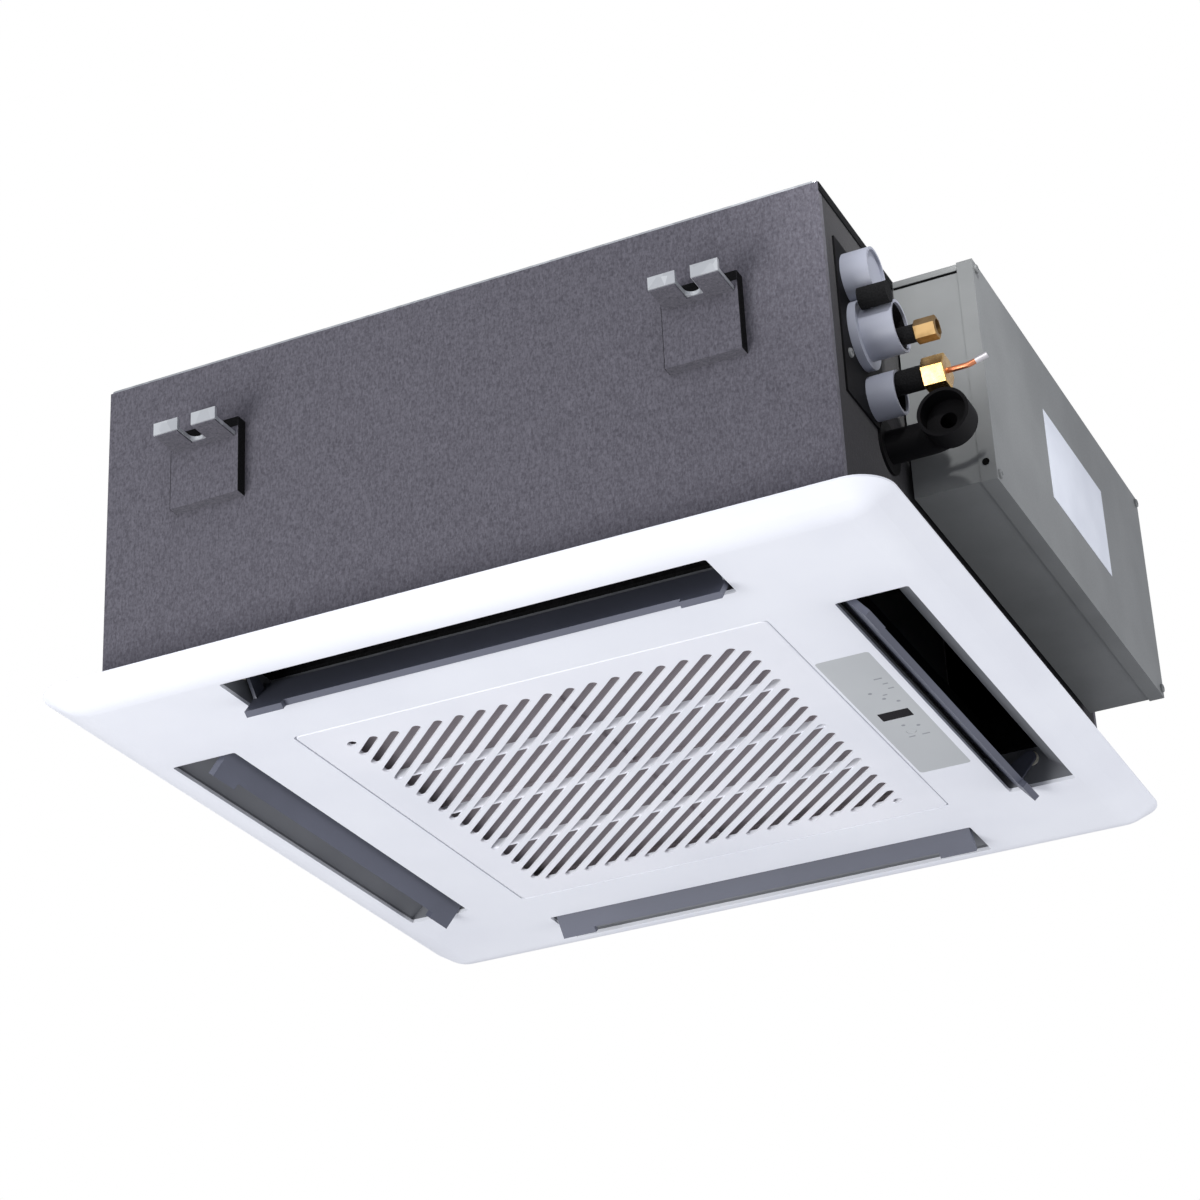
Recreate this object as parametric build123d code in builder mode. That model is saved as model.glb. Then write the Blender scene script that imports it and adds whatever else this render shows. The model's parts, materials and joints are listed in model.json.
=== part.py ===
from build123d import *
from math import cos, radians, sin, sqrt
import os

# Ceiling cassette air conditioner, in millimetres.
# The origin is the centre of the four hanger slots, in the plane of the hanger plates' underside.
# +Z is up, +X points to the side with the electrical box and the pipes, and -Y is the front.

# ---------------------------------------------------------------- driving dimensions
# levels
hanger_height = 160       # hanger plates' underside above the body's underside
body_height = 235
body_drop = 21            # ceiling line below the body's underside
rim_height = 15           # panel rim above the panel's flat face
seal_thickness = 3        # foam between the panel's channels and the body

# decoration panel
panel_side = 650
panel_overhang = 37.5     # panel's edge beyond the body
panel_corner = 28
panel_wall = 3
bevel_width = 22
bevel_softness = 34
rim_lip = 1.5

# outlet slots, liners and louvers
slot_margin = 34          # panel's edge to a slot's outer edge
slot_width = 53.5
slot_corner = 2
liner_wall = 2
duct_width = 52           # air channel through the body
throat_rise = 19          # height over which the inner wall narrows
scoop_rise = 17           # height over which the outer wall narrows
pivot_inset = 33          # slot's outer edge to the louver axis
pivot_rise = 24           # louver axis above the panel face
louver_tilt = 50          # opening angle in the resting pose
louver_edge_gap = 3       # slot's inner edge to the closed louver
louver_outer_gap = 5      # closed louver to the slot's outer edge
louver_thickness = 5
louver_end_gap = 3
louver_cut_back = 5       # outer edge is cut back between the end lobes
louver_lobe = 30
louver_arm = 2.5
louver_pin_radius = 3
louver_pin_reach = 7
arm_boss_radius = 5
arm_foot = 16

# bushes, motor and drive sleeves
bush_radius = 4.5
bush_flange_radius = 6
bush_flange = 1.2
pin_clearance = 0.05
louver_motor_radius = 11
louver_motor_length = 18
motor_ear_span = 34
motor_ear_width = 8
motor_ear = 1.5
sleeve_radius = 5
sleeve_clearance = 0.1
sleeve_bend = 60

# intake grille
grille_margin = 50.5      # slot's inner edge to the grille's edge
grille_gap = 1
grille_corner = 5
grille_thickness = 4
slat_thickness = 1.6
grille_edge_round = 1
slat_margin = 27          # grille's edge to the field of slats
slat_pitch = 12.6
slat_opening = 7.1
grille_wall = 2.5
grille_wall_inset = 3
grille_wall_top = 18
grille_rib = 2.5
grille_rib_height = 4
grille_rib_pitch = 80
recess_corner = 4
gusset_leg = 45
gusset_thickness = 3

# grille hinge and catches
hinge_inset = 2.4         # hinge axis from the grille's edge
hinge_rise = 2.2          # hinge axis above the panel face
hinge_pin_radius = 1.2
hinge_pin_length = 10.6
catch_screw_gap = 52     # panel's screw to the catch beside it
catch_radius = 3
catch_length = 9.5
catch_travel = 4
catch_housing_height = 10
catch_housing_width = 20
seat_gap = 0.3            # resting gap between pieces of different bodies

# filter
filter_margin = 9         # grille's edge to the filter's edge
filter_rim = 10
filter_thickness = 3
filter_rise = 8.3         # underside of the filter above the panel face
filter_gaps = 17
filter_gap_share = 0.86
net_thickness = 0.8

# receiver
receiver_gap = 2          # grille opening to the receiver plate
receiver_centre_y = 4.5
receiver_width = 41
receiver_length = 221
receiver_corner = 3
receiver_thickness = 1.2
receiver_ledge = 7        # panel ledge under the receiver plate
housing_width = 25
housing_length = 204
housing_depth = 14
housing_wall = 1.5
board_width = 20
board_length = 178
board_thickness = 1.6
board_rise = 9
display_width = 24
display_length = 14
button_offset = 34
button_radius = 3.5
button_clearance = 0.2
button_travel = 1.2

# casing and jackets
felt_thickness = 6
casing_wall = 1.2
casing_corner = 3
casing_flange = 9.5
casing_gusset = 42
top_thickness = 1.5
top_corner = 4
felt_pad_width = 57       # raised felt pad over each bracket's flange
felt_pad_height = 62
felt_pad_centre = -16     # from the bracket's plate
felt_pad_rise = 9.5

# hangers
hanger_side_inset = 89.5  # body's side to the middle of a bracket
hanger_length = 37.5      # bracket's tip beyond the body
hanger_stud_inset = 15    # bracket's tip to the stud
hanger_width = 52
hanger_thickness = 3
hanger_slot = 11.5
hanger_lip = 10
hanger_flange_width = 48
hanger_flange_drop = 36
hanger_screw_drop = 21.6  # screws below the bracket's plate
felt_clearance = 0.3      # felt to the bracket

# inner foam duct, drain pan and bellmouth
foam_clearance = 0.3
foam_slab = 14.5
pan_height = 30
pan_trough_margin = 6     # trough beyond the coil's faces
pan_trough_depth = 10
basin_inset = 33          # middle of the pump's basin from the channel's outer wall
basin_side = 58
basin_depth = 20
bell_radius = 30
bell_wall = 2.5
bell_gap = 6.5            # bellmouth's throat to the fan's inlet ring
bell_flange_width = 30
plug_radius = 10
plug_flange_radius = 14
plug_flange = 3

# coil
coil_margin = 14          # air channel to the coil's outer face
coil_depth = 30
coil_top_gap = 9
coil_stop_inset = 26      # both free ends of the coil stop short of its inner face
coil_corner = 24
bend_pitch = 25
bend_tube_radius = 3.5
bend_radius = 9
tube_inset = 8            # tube rows from the coil's inner and outer faces

# fan
fan_gap = 21              # coil's inner face to the fan's rim
fan_shroud_width = 28.5
fan_bottom = 22           # lowest edge of the fan above the body's underside
fan_inlet_straight = 8
fan_shroud_rise = 24
fan_skin = 2.5
fan_blades = 7
fan_blade_thickness = 3
fan_blade_lean = 38
fan_blade_reach = 59      # blade root to the fan's rim
fan_hub_radius = 16
fan_hub_drop = 36
shaft_radius = 5
shaft_overhang = 12
fan_nut_radius = 9
fan_nut_height = 8
motor_radius = 55
motor_height = 68
motor_clearance = 11      # fan back disc to motor
motor_flange_radius = 70
motor_flange = 4
motor_mount_height = 12
motor_mount_radius = 8
motor_mount_circle = 61
motor_hole_margin = 8

# drain pump, float and drain line
pump_inset = 26           # pump's axis from the channel's outer wall
pump_radius = 19
pump_bottom = 24          # above the body's underside, as the next heights are
pump_height = 52
pump_skirt_radius = 12
pump_skirt_bottom = 13
impeller_radius = 9
impeller_height = 6
impeller_clearance = 0.6
impeller_shaft_radius = 1.5
nozzle_radius = 8
nozzle_rise = 64
nozzle_reach = 11
float_inset = 51
float_radius = 7
float_height = 10
float_rise = 14
float_travel = 8
float_stem_radius = 2.5
float_clip = 1
pump_bracket = 2
hose_wall = 2.4
hose_clearance = 0.05
hose_straight = 4         # beyond the nozzle, before the hose turns
hose_first_bend = 11.2
hose_second_bend = 9.6

# pipe side: insets are from the front edge of the right-hand face, heights from the body's underside
collar_radius = 19
collar_wall = 2
collar_cap = 2
upper_collar_inset = 44.5
upper_collar_rise = 177
upper_collar_reach = 20
liquid_inset = 55.5
liquid_rise = 137
liquid_pipe_drop = 8.6    # pipe below the axis of its collar
liquid_collar_reach = 30
liquid_flange_radius = 25
liquid_flange = 6
gas_inset = 72.5
gas_rise = 103
gas_collar_drop = 7       # collar's axis below the pipe
gas_collar_reach = 20
gas_collar_radius = 16
cover_thickness = 1.5
cover_front_inset = 19.5
cover_back_inset = 97.5
cover_bottom = 76
cover_top = 200
cover_screw_inset = 30.5
cover_screw_rise = 111
pipe_hole_margin = 4
liquid_pipe_radius = 3.175
gas_pipe_radius = 4.76
pipe_wall = 0.8
liquid_nut_gap = 41.5     # body to the nut
liquid_nut_flats = 15
liquid_nut_length = 16
liquid_thread_radius = 5.55
liquid_thread_depth = 12
gas_nut_gap = 39.5
gas_nut_flats = 22
gas_nut_length = 17
tail_radius = 2
tail_run = 14
tail_length = 28
tail_lift = 4

# drain socket on the right-hand face
drain_inset = 97.5
drain_rise = 70
drain_radius = 18.5
drain_socket_length = 20
drain_pipe_radius = 12
drain_bore_radius = 16.1
drain_bore_depth = 14
drain_elbow = 19
drain_reach = 50.4        # body to the socket's axis
drain_mouth_run = 29.6    # elbow's start to the mouth
drain_passage_radius = 6
drain_flange_radius = 19.5
drain_flange = 2

# electrical box
ebox_gap = 4.5            # felt to the back of the box
ebox_depth = 61
ebox_front_inset = 131.5
ebox_back_inset = 32.5
ebox_bottom = 45
ebox_top_drop = 10        # below the body's top
ebox_wall = 1.2
ebox_cover_wall = 1
ebox_lip = 12
ebox_foot = 18
ebox_foot_inset = 40
control_board_length = 190
control_board_height = 120
control_board_standoff = 8
standoff_margin = 9
standoff_radius = 3.5
component_pitch_y = 63
component_pitch_z = 60
terminal_length = 70
terminal_height = 34
terminal_depth = 20
terminal_screw_pitch = 14
terminal_row_pitch = 17
component_side = 20
component_height = 16
capacitor_radius = 16
capacitor_length = 38
grommet_pitch = 60
grommet_radius = 9
grommet_bore = 5.5
grommet_flange_radius = 12
grommet_flange = 2.5

# screws
screw_radius = 2.5
screw_head_radius = 5
screw_head_height = 3
panel_screw_inset = 16    # grille opening to the screw
panel_screw_bite = 20
small_head_radius = 3.5
small_head_height = 2
post_radius = 6
post_inset = 19.5         # casing's side to the post's axis

# ---------------------------------------------------------------- derived levels and places
z_bottom = -hanger_height
z_top = z_bottom + body_height
z_rim = z_bottom - body_drop
z_face = z_rim - rim_height
z_back = z_face + panel_wall              # back of the panel's flat face
z_recess = z_bottom - seal_thickness      # top of recess wall and liners
z_pivot = z_face + pivot_rise
z_hinge = z_face + hinge_rise
z_pan = z_bottom + pan_height
z_trough = z_pan - pan_trough_depth
z_lid = z_top - top_thickness
z_slab = z_lid - foam_slab

body_side = panel_side - 2 * panel_overhang
body_half = body_side / 2
casing_side = body_side - 2 * felt_thickness
casing_half = casing_side / 2
foam_side = casing_side - 2 * casing_wall - 2 * foam_clearance

slot_outer = panel_side / 2 - slot_margin
slot_inner = slot_outer - slot_width
slot_centre = (slot_inner + slot_outer) / 2
pivot_out = slot_outer - pivot_inset
louver_width = slot_width - louver_edge_gap - louver_outer_gap
duct_outer = casing_half - casing_flange  # air channel inside the casing's bottom flange
duct_inner = duct_outer - duct_width
duct_middle = (duct_inner + duct_outer) / 2

grille_half = slot_inner - grille_margin
grille_side = 2 * grille_half
slot_length = grille_side
slot_half = slot_length / 2
opening_side = grille_side + 2 * grille_gap
opening_half = opening_side / 2
slat_cap = slat_opening / 2
slat_field = grille_side - 2 * slat_margin
slat_reach = (slat_field / 2 - slat_cap) * sqrt(2)
slots_each_way = round(slat_reach / slat_pitch)
hinge_x = -(grille_half - hinge_inset)
louver_half = slot_half - louver_end_gap
grille_wall_half = grille_half - grille_wall_inset
catch_x = grille_wall_half - grille_wall / 2
z_catch = z_face + grille_wall_top + seat_gap
filter_side = grille_side - 2 * filter_margin
panel_screw_place = opening_half - panel_screw_inset
catch_offset = panel_screw_place - catch_screw_gap
post_place = casing_half - post_inset
receiver_centre_x = opening_half + receiver_gap + receiver_width / 2
button_y = receiver_centre_y + button_offset

coil_outer = duct_inner - coil_margin
coil_inner = coil_outer - coil_depth
coil_stop = coil_inner - coil_stop_inset
coil_height = z_slab - coil_top_gap - z_trough
bend_rows = int(coil_height / bend_pitch)
bend_out = coil_outer - tube_inset
pipe_root = coil_inner + tube_inset
pan_trough_inner = coil_inner - pan_trough_margin
pan_trough_outer = coil_outer + pan_trough_margin
basin_centre = duct_outer - basin_inset

fan_radius = coil_inner - fan_gap
fan_inlet_radius = fan_radius - fan_shroud_width
fan_blade_root = fan_radius - fan_blade_reach
bell_throat = fan_inlet_radius - bell_gap
pan_mouth_radius = bell_throat + bell_radius
bell_flange_radius = pan_mouth_radius + bell_flange_width
z_motor_top = z_lid - motor_mount_height
z_motor = z_motor_top - motor_height
z_fan_top = z_motor - motor_clearance
z_fan_back = z_fan_top - fan_skin         # underside of the fan's back disc
z_hub = z_fan_back - fan_hub_drop

pump_centre = duct_outer - pump_inset
float_centre = duct_outer - float_inset
z_pump = z_bottom + pump_bottom
z_pump_top = z_pump + pump_height
z_skirt = z_bottom + pump_skirt_bottom
z_nozzle = z_bottom + nozzle_rise
z_float = z_bottom + float_rise

hanger_reach = body_half + hanger_length
hanger_x = body_half - hanger_side_inset
hanger_y = hanger_reach - hanger_stud_inset

upper_collar_y = -body_half + upper_collar_inset
liquid_y = -body_half + liquid_inset
gas_y = -body_half + gas_inset
drain_y = -body_half + drain_inset
z_upper_collar = z_bottom + upper_collar_rise
z_liquid_collar = z_bottom + liquid_rise
z_liquid = z_liquid_collar - liquid_pipe_drop
z_gas = z_bottom + gas_rise
z_gas_collar = z_gas - gas_collar_drop
z_drain = z_bottom + drain_rise
liquid_nut_start = body_half + liquid_nut_gap
gas_nut_start = body_half + gas_nut_gap
drain_out = body_half + drain_reach
drain_mouth_y = drain_y - drain_mouth_run
cover_front = -body_half + cover_front_inset
cover_back = -body_half + cover_back_inset

ebox_inner_x = body_half + ebox_gap
ebox_outer_x = ebox_inner_x + ebox_depth
ebox_middle_x = ebox_inner_x + ebox_depth / 2
ebox_front = -body_half + ebox_front_inset
ebox_back = body_half - ebox_back_inset
ebox_length = ebox_back - ebox_front
ebox_middle_y = (ebox_front + ebox_back) / 2
z_ebox_bottom = z_bottom + ebox_bottom
z_ebox_top = z_top - ebox_top_drop
ebox_height = z_ebox_top - z_ebox_bottom
ebox_middle_z = (z_ebox_bottom + z_ebox_top) / 2
foot_pitch_y = ebox_length - 2 * ebox_foot_inset
foot_pitch_z = ebox_height - 2 * ebox_foot_inset

sides = {"right": 0, "back": 90, "left": 180, "front": 270}
up = Vector(0, 0, 1)


def outward(angle):
    """Unit vector that points away from the centre on the side at this angle."""
    return Vector(cos(radians(angle)), sin(radians(angle)), 0)


def side_plane(angle):
    """Upright plane through the centre: x is the distance outwards on that side, y the height."""
    return Plane(origin=(0, 0, 0), x_dir=outward(angle), z_dir=outward(angle).cross(up))


def louver_plane(angle):
    """Plane square to a louver's axis, centred on it, turned with the tilted blade."""
    tilt = radians(louver_tilt)
    along_blade = outward(angle) * cos(tilt) - up * sin(tilt)
    origin = outward(angle) * pivot_out + up * z_pivot
    return Plane(origin=origin, x_dir=along_blade, z_dir=outward(angle).cross(up))


def axle_plane(angle, end, distance):
    """Plane across a louver's axis at this distance from its middle, facing away from the blade."""
    along = up.cross(outward(angle)) * end
    origin = outward(angle) * pivot_out + up * z_pivot + along * distance
    return Plane(origin=origin, x_dir=outward(angle), z_dir=along)


def corner_triangle(leg):
    """Points of a right-angled triangle whose right angle points along +x."""
    half_base = leg / sqrt(2)
    return (0, 0), (-half_base, half_base), (-half_base, -half_base)


def face_plane(x):
    """Plane parallel to the right-hand face: x runs along +Y, y is the height."""
    return Plane.YZ.offset(x)


os.makedirs("parts", exist_ok=True)

# ---------------------------------------------------------------- decoration panel
# the hollow behind the panel's skin
with BuildPart() as panel_hollow:
    hollow_side = panel_side - 2 * panel_wall
    with BuildSketch(Plane.XY.offset(z_back)):
        RectangleRounded(hollow_side, hollow_side, panel_corner - panel_wall)
    extrude(amount=rim_height)
    hollow_floor = panel_hollow.faces().sort_by(Axis.Z)[0]
    chamfer(hollow_floor.edges(), length=bevel_width, length2=rim_height - rim_lip, reference=hollow_floor)

with BuildPart() as panel_frame:
    with BuildSketch(Plane.XY.offset(z_face)):
        RectangleRounded(panel_side, panel_side, panel_corner)
    extrude(amount=rim_height)
    flat_face = panel_frame.faces().sort_by(Axis.Z)[0]
    chamfer(flat_face.edges(), length=bevel_width, length2=rim_height - rim_lip, reference=flat_face)
    fillet(panel_frame.faces().sort_by(Axis.Z)[0].edges(), radius=bevel_softness)
    add(panel_hollow.part, mode=Mode.SUBTRACT)
    # recess wall round the grille
    with BuildSketch(Plane.XY.offset(z_face)):
        RectangleRounded(opening_side + 2 * panel_wall, opening_side + 2 * panel_wall,
                         recess_corner + panel_wall)
    extrude(amount=z_recess - z_face)
    # posts that meet the body's corners
    with BuildSketch(Plane.XY.offset(z_back)):
        with GridLocations(2 * post_place, 2 * post_place, 2, 2):
            Circle(post_radius)
    extrude(amount=z_bottom - z_back)
    # grille opening and the four slots
    with BuildSketch(Plane.XY.offset(z_face)):
        RectangleRounded(opening_side, opening_side, recess_corner)
    extrude(amount=z_recess - z_face, mode=Mode.SUBTRACT)
    with BuildSketch(Plane.XY.offset(z_face)):
        with PolarLocations(slot_centre, 4):
            RectangleRounded(slot_width, slot_length, slot_corner)
    extrude(amount=panel_wall, mode=Mode.SUBTRACT)
    # corner gussets for the panel screws
    with BuildSketch(Plane.XY.offset(z_recess - gusset_thickness)):
        with PolarLocations(opening_side / sqrt(2), 4, start_angle=45):
            Polygon(*corner_triangle(gusset_leg), align=None)
        with GridLocations(2 * panel_screw_place, 2 * panel_screw_place, 2, 2):
            Circle(screw_radius + pin_clearance, mode=Mode.SUBTRACT)
    extrude(amount=gusset_thickness)
    # seat of the receiver plate and the window behind it
    with BuildSketch(Plane.XY.offset(z_face)):
        with Locations((receiver_centre_x, receiver_centre_y)):
            RectangleRounded(receiver_width, receiver_length, receiver_corner)
    extrude(amount=receiver_thickness, mode=Mode.SUBTRACT)
    with BuildSketch(Plane.XY.offset(z_face)):
        with Locations((receiver_centre_x - receiver_ledge / 2, receiver_centre_y)):
            Rectangle(board_width, board_length + receiver_ledge)
    extrude(amount=panel_wall, mode=Mode.SUBTRACT)
    # blind holes of the grille's hinge pins
    with BuildSketch(Plane.XZ):
        with Locations((hinge_x, z_hinge)):
            Circle(hinge_pin_radius + pin_clearance)
    extrude(amount=opening_half + panel_wall, both=True, mode=Mode.SUBTRACT)
panel_frame.part.label = "panel_frame"
export_step(panel_frame.part, "parts/panel_frame.step")

# ---------------------------------------------------------------- outlet liners
with BuildPart() as outlet_liners:
    for angle in sides.values():
        channel = [(slot_inner, z_back), (duct_inner, z_back + throat_rise), (duct_inner, z_recess),
                   (duct_outer, z_recess), (duct_outer, z_back + scoop_rise),
                   (slot_outer, z_back + liner_wall), (slot_outer, z_back), (slot_inner, z_back)]
        with BuildSketch(side_plane(angle)):
            with BuildLine():
                Polyline(*channel)
            make_face()
            offset(amount=liner_wall, kind=Kind.INTERSECTION)
            with Locations((slot_centre, z_back - liner_wall)):
                Rectangle(2 * slot_width, 2 * liner_wall, mode=Mode.SUBTRACT)
            with Locations((slot_centre, z_recess + liner_wall)):
                Rectangle(3 * slot_width, 2 * liner_wall, mode=Mode.SUBTRACT)
        extrude(amount=slot_half + liner_wall, both=True)
        with BuildSketch(side_plane(angle)):
            with BuildLine():
                Polyline(*channel)
            make_face()
        extrude(amount=slot_half, both=True, mode=Mode.SUBTRACT)
        with BuildSketch(side_plane(angle)):
            with Locations((pivot_out, z_pivot)):
                Circle(bush_radius)
        extrude(amount=slot_half + liner_wall, both=True, mode=Mode.SUBTRACT)
outlet_liners.part.label = "outlet_liners"
export_step(outlet_liners.part, "parts/outlet_liners.step")

# foam rings: one round the intake recess and one on each liner
with BuildPart() as panel_seals:
    with BuildSketch(Plane.XY.offset(z_recess)):
        RectangleRounded(opening_side + 2 * panel_wall, opening_side + 2 * panel_wall,
                         recess_corner + panel_wall)
        RectangleRounded(opening_side, opening_side, recess_corner, mode=Mode.SUBTRACT)
        with PolarLocations(duct_middle, 4):
            Rectangle(duct_width + 2 * liner_wall, slot_length + 2 * liner_wall)
        with PolarLocations(duct_middle, 4):
            Rectangle(duct_width, slot_length, mode=Mode.SUBTRACT)
    extrude(amount=z_bottom - z_recess)
panel_seals.part.label = "panel_seals"
export_step(panel_seals.part, "parts/panel_seals.step")

# ---------------------------------------------------------------- louvers
for side, angle in sides.items():
    blade_inner = slot_inner + louver_edge_gap - pivot_out
    blade_outer = blade_inner + louver_width
    blade_low = -pivot_rise
    blade_high = blade_low + louver_thickness
    nose = louver_thickness / 2
    with BuildPart() as louver:
        with BuildSketch(louver_plane(angle)):
            with BuildLine():
                lower = Line((blade_inner + nose, blade_low), (blade_outer, blade_low))
                outer = Line(lower @ 1, (blade_outer, blade_high))
                upper = Line(outer @ 1, (blade_inner + nose, blade_high))
                ThreePointArc(upper @ 1, (blade_inner, blade_low + nose), lower @ 0)
            make_face()
        extrude(amount=louver_half, both=True)
        # the outer edge is cut back between the two end lobes
        with BuildSketch(louver_plane(angle)):
            with Locations((blade_outer, blade_low + nose)):
                Rectangle(2 * louver_cut_back, 2 * louver_thickness)
        extrude(amount=louver_half - louver_lobe, both=True, mode=Mode.SUBTRACT)
        # end arms with their bosses and pins
        for end in (-1, 1):
            arm_plane = louver_plane(angle).offset(end * (louver_half - louver_arm / 2))
            with BuildSketch(arm_plane):
                with BuildLine():
                    Polyline((-arm_foot / 2, blade_high), (arm_foot / 2, blade_high),
                             (arm_boss_radius, 0), (-arm_boss_radius, 0), (-arm_foot / 2, blade_high))
                make_face()
                Circle(arm_boss_radius)
            extrude(amount=louver_arm / 2, both=True)
            with BuildSketch(axle_plane(angle, end, louver_half - louver_arm)):
                Circle(louver_pin_radius)
            extrude(amount=louver_arm + louver_pin_reach)
    louver.part.label = f"louver_{side}"
    export_step(louver.part, f"parts/louver_{side}.step")

with BuildPart() as louver_bushes:
    for angle in sides.values():
        for end in (-1, 1):
            with BuildSketch(axle_plane(angle, end, slot_half - bush_flange)):
                Circle(bush_flange_radius)
                Circle(louver_pin_radius + pin_clearance, mode=Mode.SUBTRACT)
            extrude(amount=bush_flange)
            with BuildSketch(axle_plane(angle, end, slot_half)):
                Circle(bush_radius)
                Circle(louver_pin_radius + pin_clearance, mode=Mode.SUBTRACT)
            extrude(amount=liner_wall)
louver_bushes.part.label = "louver_bushes"
export_step(louver_bushes.part, "parts/louver_bushes.step")

# stepper motor on the left end of the front louver
with BuildPart() as louver_motor:
    motor_end = slot_half + liner_wall
    with BuildSketch(axle_plane(sides["front"], -1, motor_end)):
        Circle(louver_motor_radius)
    extrude(amount=louver_motor_length)
    with BuildSketch(axle_plane(sides["front"], -1, motor_end)):
        SlotOverall(motor_ear_span, motor_ear_width)
    extrude(amount=motor_ear)
    with BuildSketch(axle_plane(sides["front"], -1, motor_end)):
        Circle(louver_pin_radius + sleeve_clearance)
    extrude(amount=louver_motor_length / 2, mode=Mode.SUBTRACT)
louver_motor.part.label = "louver_motor"
export_step(louver_motor.part, "parts/louver_motor.step")

# bent sleeves that guide the flexible drive round three corners
with BuildPart() as corner_drive_sleeves:
    sleeve_start = slot_half + liner_wall
    for angle in (sides["right"], sides["back"], sides["left"]):
        with BuildLine(Plane(origin=(0, 0, z_pivot), x_dir=outward(angle), z_dir=up)) as sleeve_path:
            FilletPolyline((sleeve_start, -pivot_out), (pivot_out, -pivot_out), (pivot_out, -sleeve_start),
                           radius=sleeve_bend)
        with BuildSketch(Plane(origin=sleeve_path.line @ 0, z_dir=sleeve_path.line % 0)):
            Circle(sleeve_radius)
            Circle(louver_pin_radius + sleeve_clearance, mode=Mode.SUBTRACT)
        sweep(path=sleeve_path.line)
corner_drive_sleeves.part.label = "corner_drive_sleeves"
export_step(corner_drive_sleeves.part, "parts/corner_drive_sleeves.step")

# ---------------------------------------------------------------- receiver
with BuildPart() as receiver_plate:
    with BuildSketch(Plane.XY.offset(z_face)):
        with Locations((receiver_centre_x, receiver_centre_y)):
            RectangleRounded(receiver_width, receiver_length, receiver_corner)
            Rectangle(display_width, display_length, mode=Mode.SUBTRACT)
        with Locations((receiver_centre_x, button_y)):
            Circle(button_radius + button_clearance, mode=Mode.SUBTRACT)
    extrude(amount=receiver_thickness)
receiver_plate.part.label = "receiver_plate"
export_step(receiver_plate.part, "parts/receiver_plate.step")

with BuildPart() as display_window:
    with BuildSketch(Plane.XY.offset(z_face)):
        with Locations((receiver_centre_x, receiver_centre_y)):
            Rectangle(display_width, display_length)
    extrude(amount=receiver_thickness)
display_window.part.label = "display_window"
export_step(display_window.part, "parts/display_window.step")

housing_x = receiver_centre_x - receiver_ledge / 2
with BuildPart() as receiver_housing:
    with BuildSketch(Plane.XY.offset(z_back)):
        with Locations((housing_x, receiver_centre_y)):
            Rectangle(housing_width, housing_length)
    extrude(amount=housing_depth)
    with BuildSketch(Plane.XY.offset(z_back)):
        with Locations((housing_x, receiver_centre_y)):
            Rectangle(housing_width - 2 * housing_wall, housing_length - 2 * housing_wall)
    extrude(amount=housing_depth - housing_wall, mode=Mode.SUBTRACT)
    # posts that hold the board
    with BuildSketch(Plane.XY.offset(z_face + board_rise + board_thickness)):
        with Locations((housing_x, receiver_centre_y)):
            with GridLocations(board_width / 2, board_length - board_width, 2, 2):
                Circle(2 * housing_wall)
    extrude(until=Until.NEXT)
receiver_housing.part.label = "receiver_housing"
export_step(receiver_housing.part, "parts/receiver_housing.step")

with BuildPart() as receiver_board:
    with BuildSketch(Plane.XY.offset(z_face + board_rise)):
        with Locations((housing_x, receiver_centre_y)):
            Rectangle(board_width, board_length)
    extrude(amount=board_thickness)
receiver_board.part.label = "receiver_board"
export_step(receiver_board.part, "parts/receiver_board.step")

with BuildPart() as manual_button:
    with BuildSketch(Plane.XY.offset(z_face)):
        with Locations((receiver_centre_x, button_y)):
            Circle(button_radius)
    extrude(amount=board_rise - button_travel - seat_gap)
    chamfer(manual_button.faces().sort_by(Axis.Z)[0].edges(), length=button_clearance)
manual_button.part.label = "manual_button"
export_step(manual_button.part, "parts/manual_button.step")

# ---------------------------------------------------------------- intake grille and filter
with BuildPart() as intake_grille:
    with BuildSketch(Plane.XY.offset(z_face)):
        RectangleRounded(grille_side, grille_side, grille_corner)
    extrude(amount=grille_thickness)
    fillet(intake_grille.faces().sort_by(Axis.Z)[0].edges(), radius=grille_edge_round)
    # rim wall behind the face
    with BuildSketch(Plane.XY.offset(z_face + grille_thickness)):
        RectangleRounded(2 * grille_wall_half, 2 * grille_wall_half, grille_corner)
        RectangleRounded(2 * (grille_wall_half - grille_wall), 2 * (grille_wall_half - grille_wall),
                         grille_corner - grille_wall, mode=Mode.SUBTRACT)
    extrude(amount=grille_wall_top - grille_thickness)
    # diagonal slots with round ends
    with BuildSketch(Plane.XY.offset(z_face)):
        for step in range(-slots_each_way, slots_each_way):
            slot_offset = (step + 0.5) * slat_pitch
            half_run = slat_reach - abs(slot_offset) + slat_cap
            with Locations((slot_offset / sqrt(2), slot_offset / sqrt(2))):
                SlotOverall(2 * half_run, slat_opening, rotation=135)
    extrude(amount=grille_thickness, mode=Mode.SUBTRACT)
    # the slats are thinner than the border, with ribs behind them
    with BuildSketch(Plane.XY.offset(z_face + slat_thickness)):
        Rectangle(slat_field, slat_field)
    extrude(amount=grille_thickness - slat_thickness, mode=Mode.SUBTRACT)
    with BuildSketch(Plane.XY.offset(z_face + slat_thickness)):
        with GridLocations(0, grille_rib_pitch, 1, 3):
            Rectangle(2 * grille_wall_half - grille_wall, grille_rib)
    extrude(amount=grille_thickness - slat_thickness + grille_rib_height)
    # holes for the hinge pins
    with BuildSketch(Plane.XZ.offset(grille_half - hinge_pin_length + grille_gap + panel_wall)):
        with Locations((hinge_x, z_hinge)):
            Circle(hinge_pin_radius)
    extrude(amount=hinge_pin_length, mode=Mode.SUBTRACT)
    with BuildSketch(Plane.XZ.offset(-grille_half)):
        with Locations((hinge_x, z_hinge)):
            Circle(hinge_pin_radius)
    extrude(amount=hinge_pin_length - grille_gap - panel_wall, mode=Mode.SUBTRACT)
intake_grille.part.label = "intake_grille"
export_step(intake_grille.part, "parts/intake_grille.step")

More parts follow.
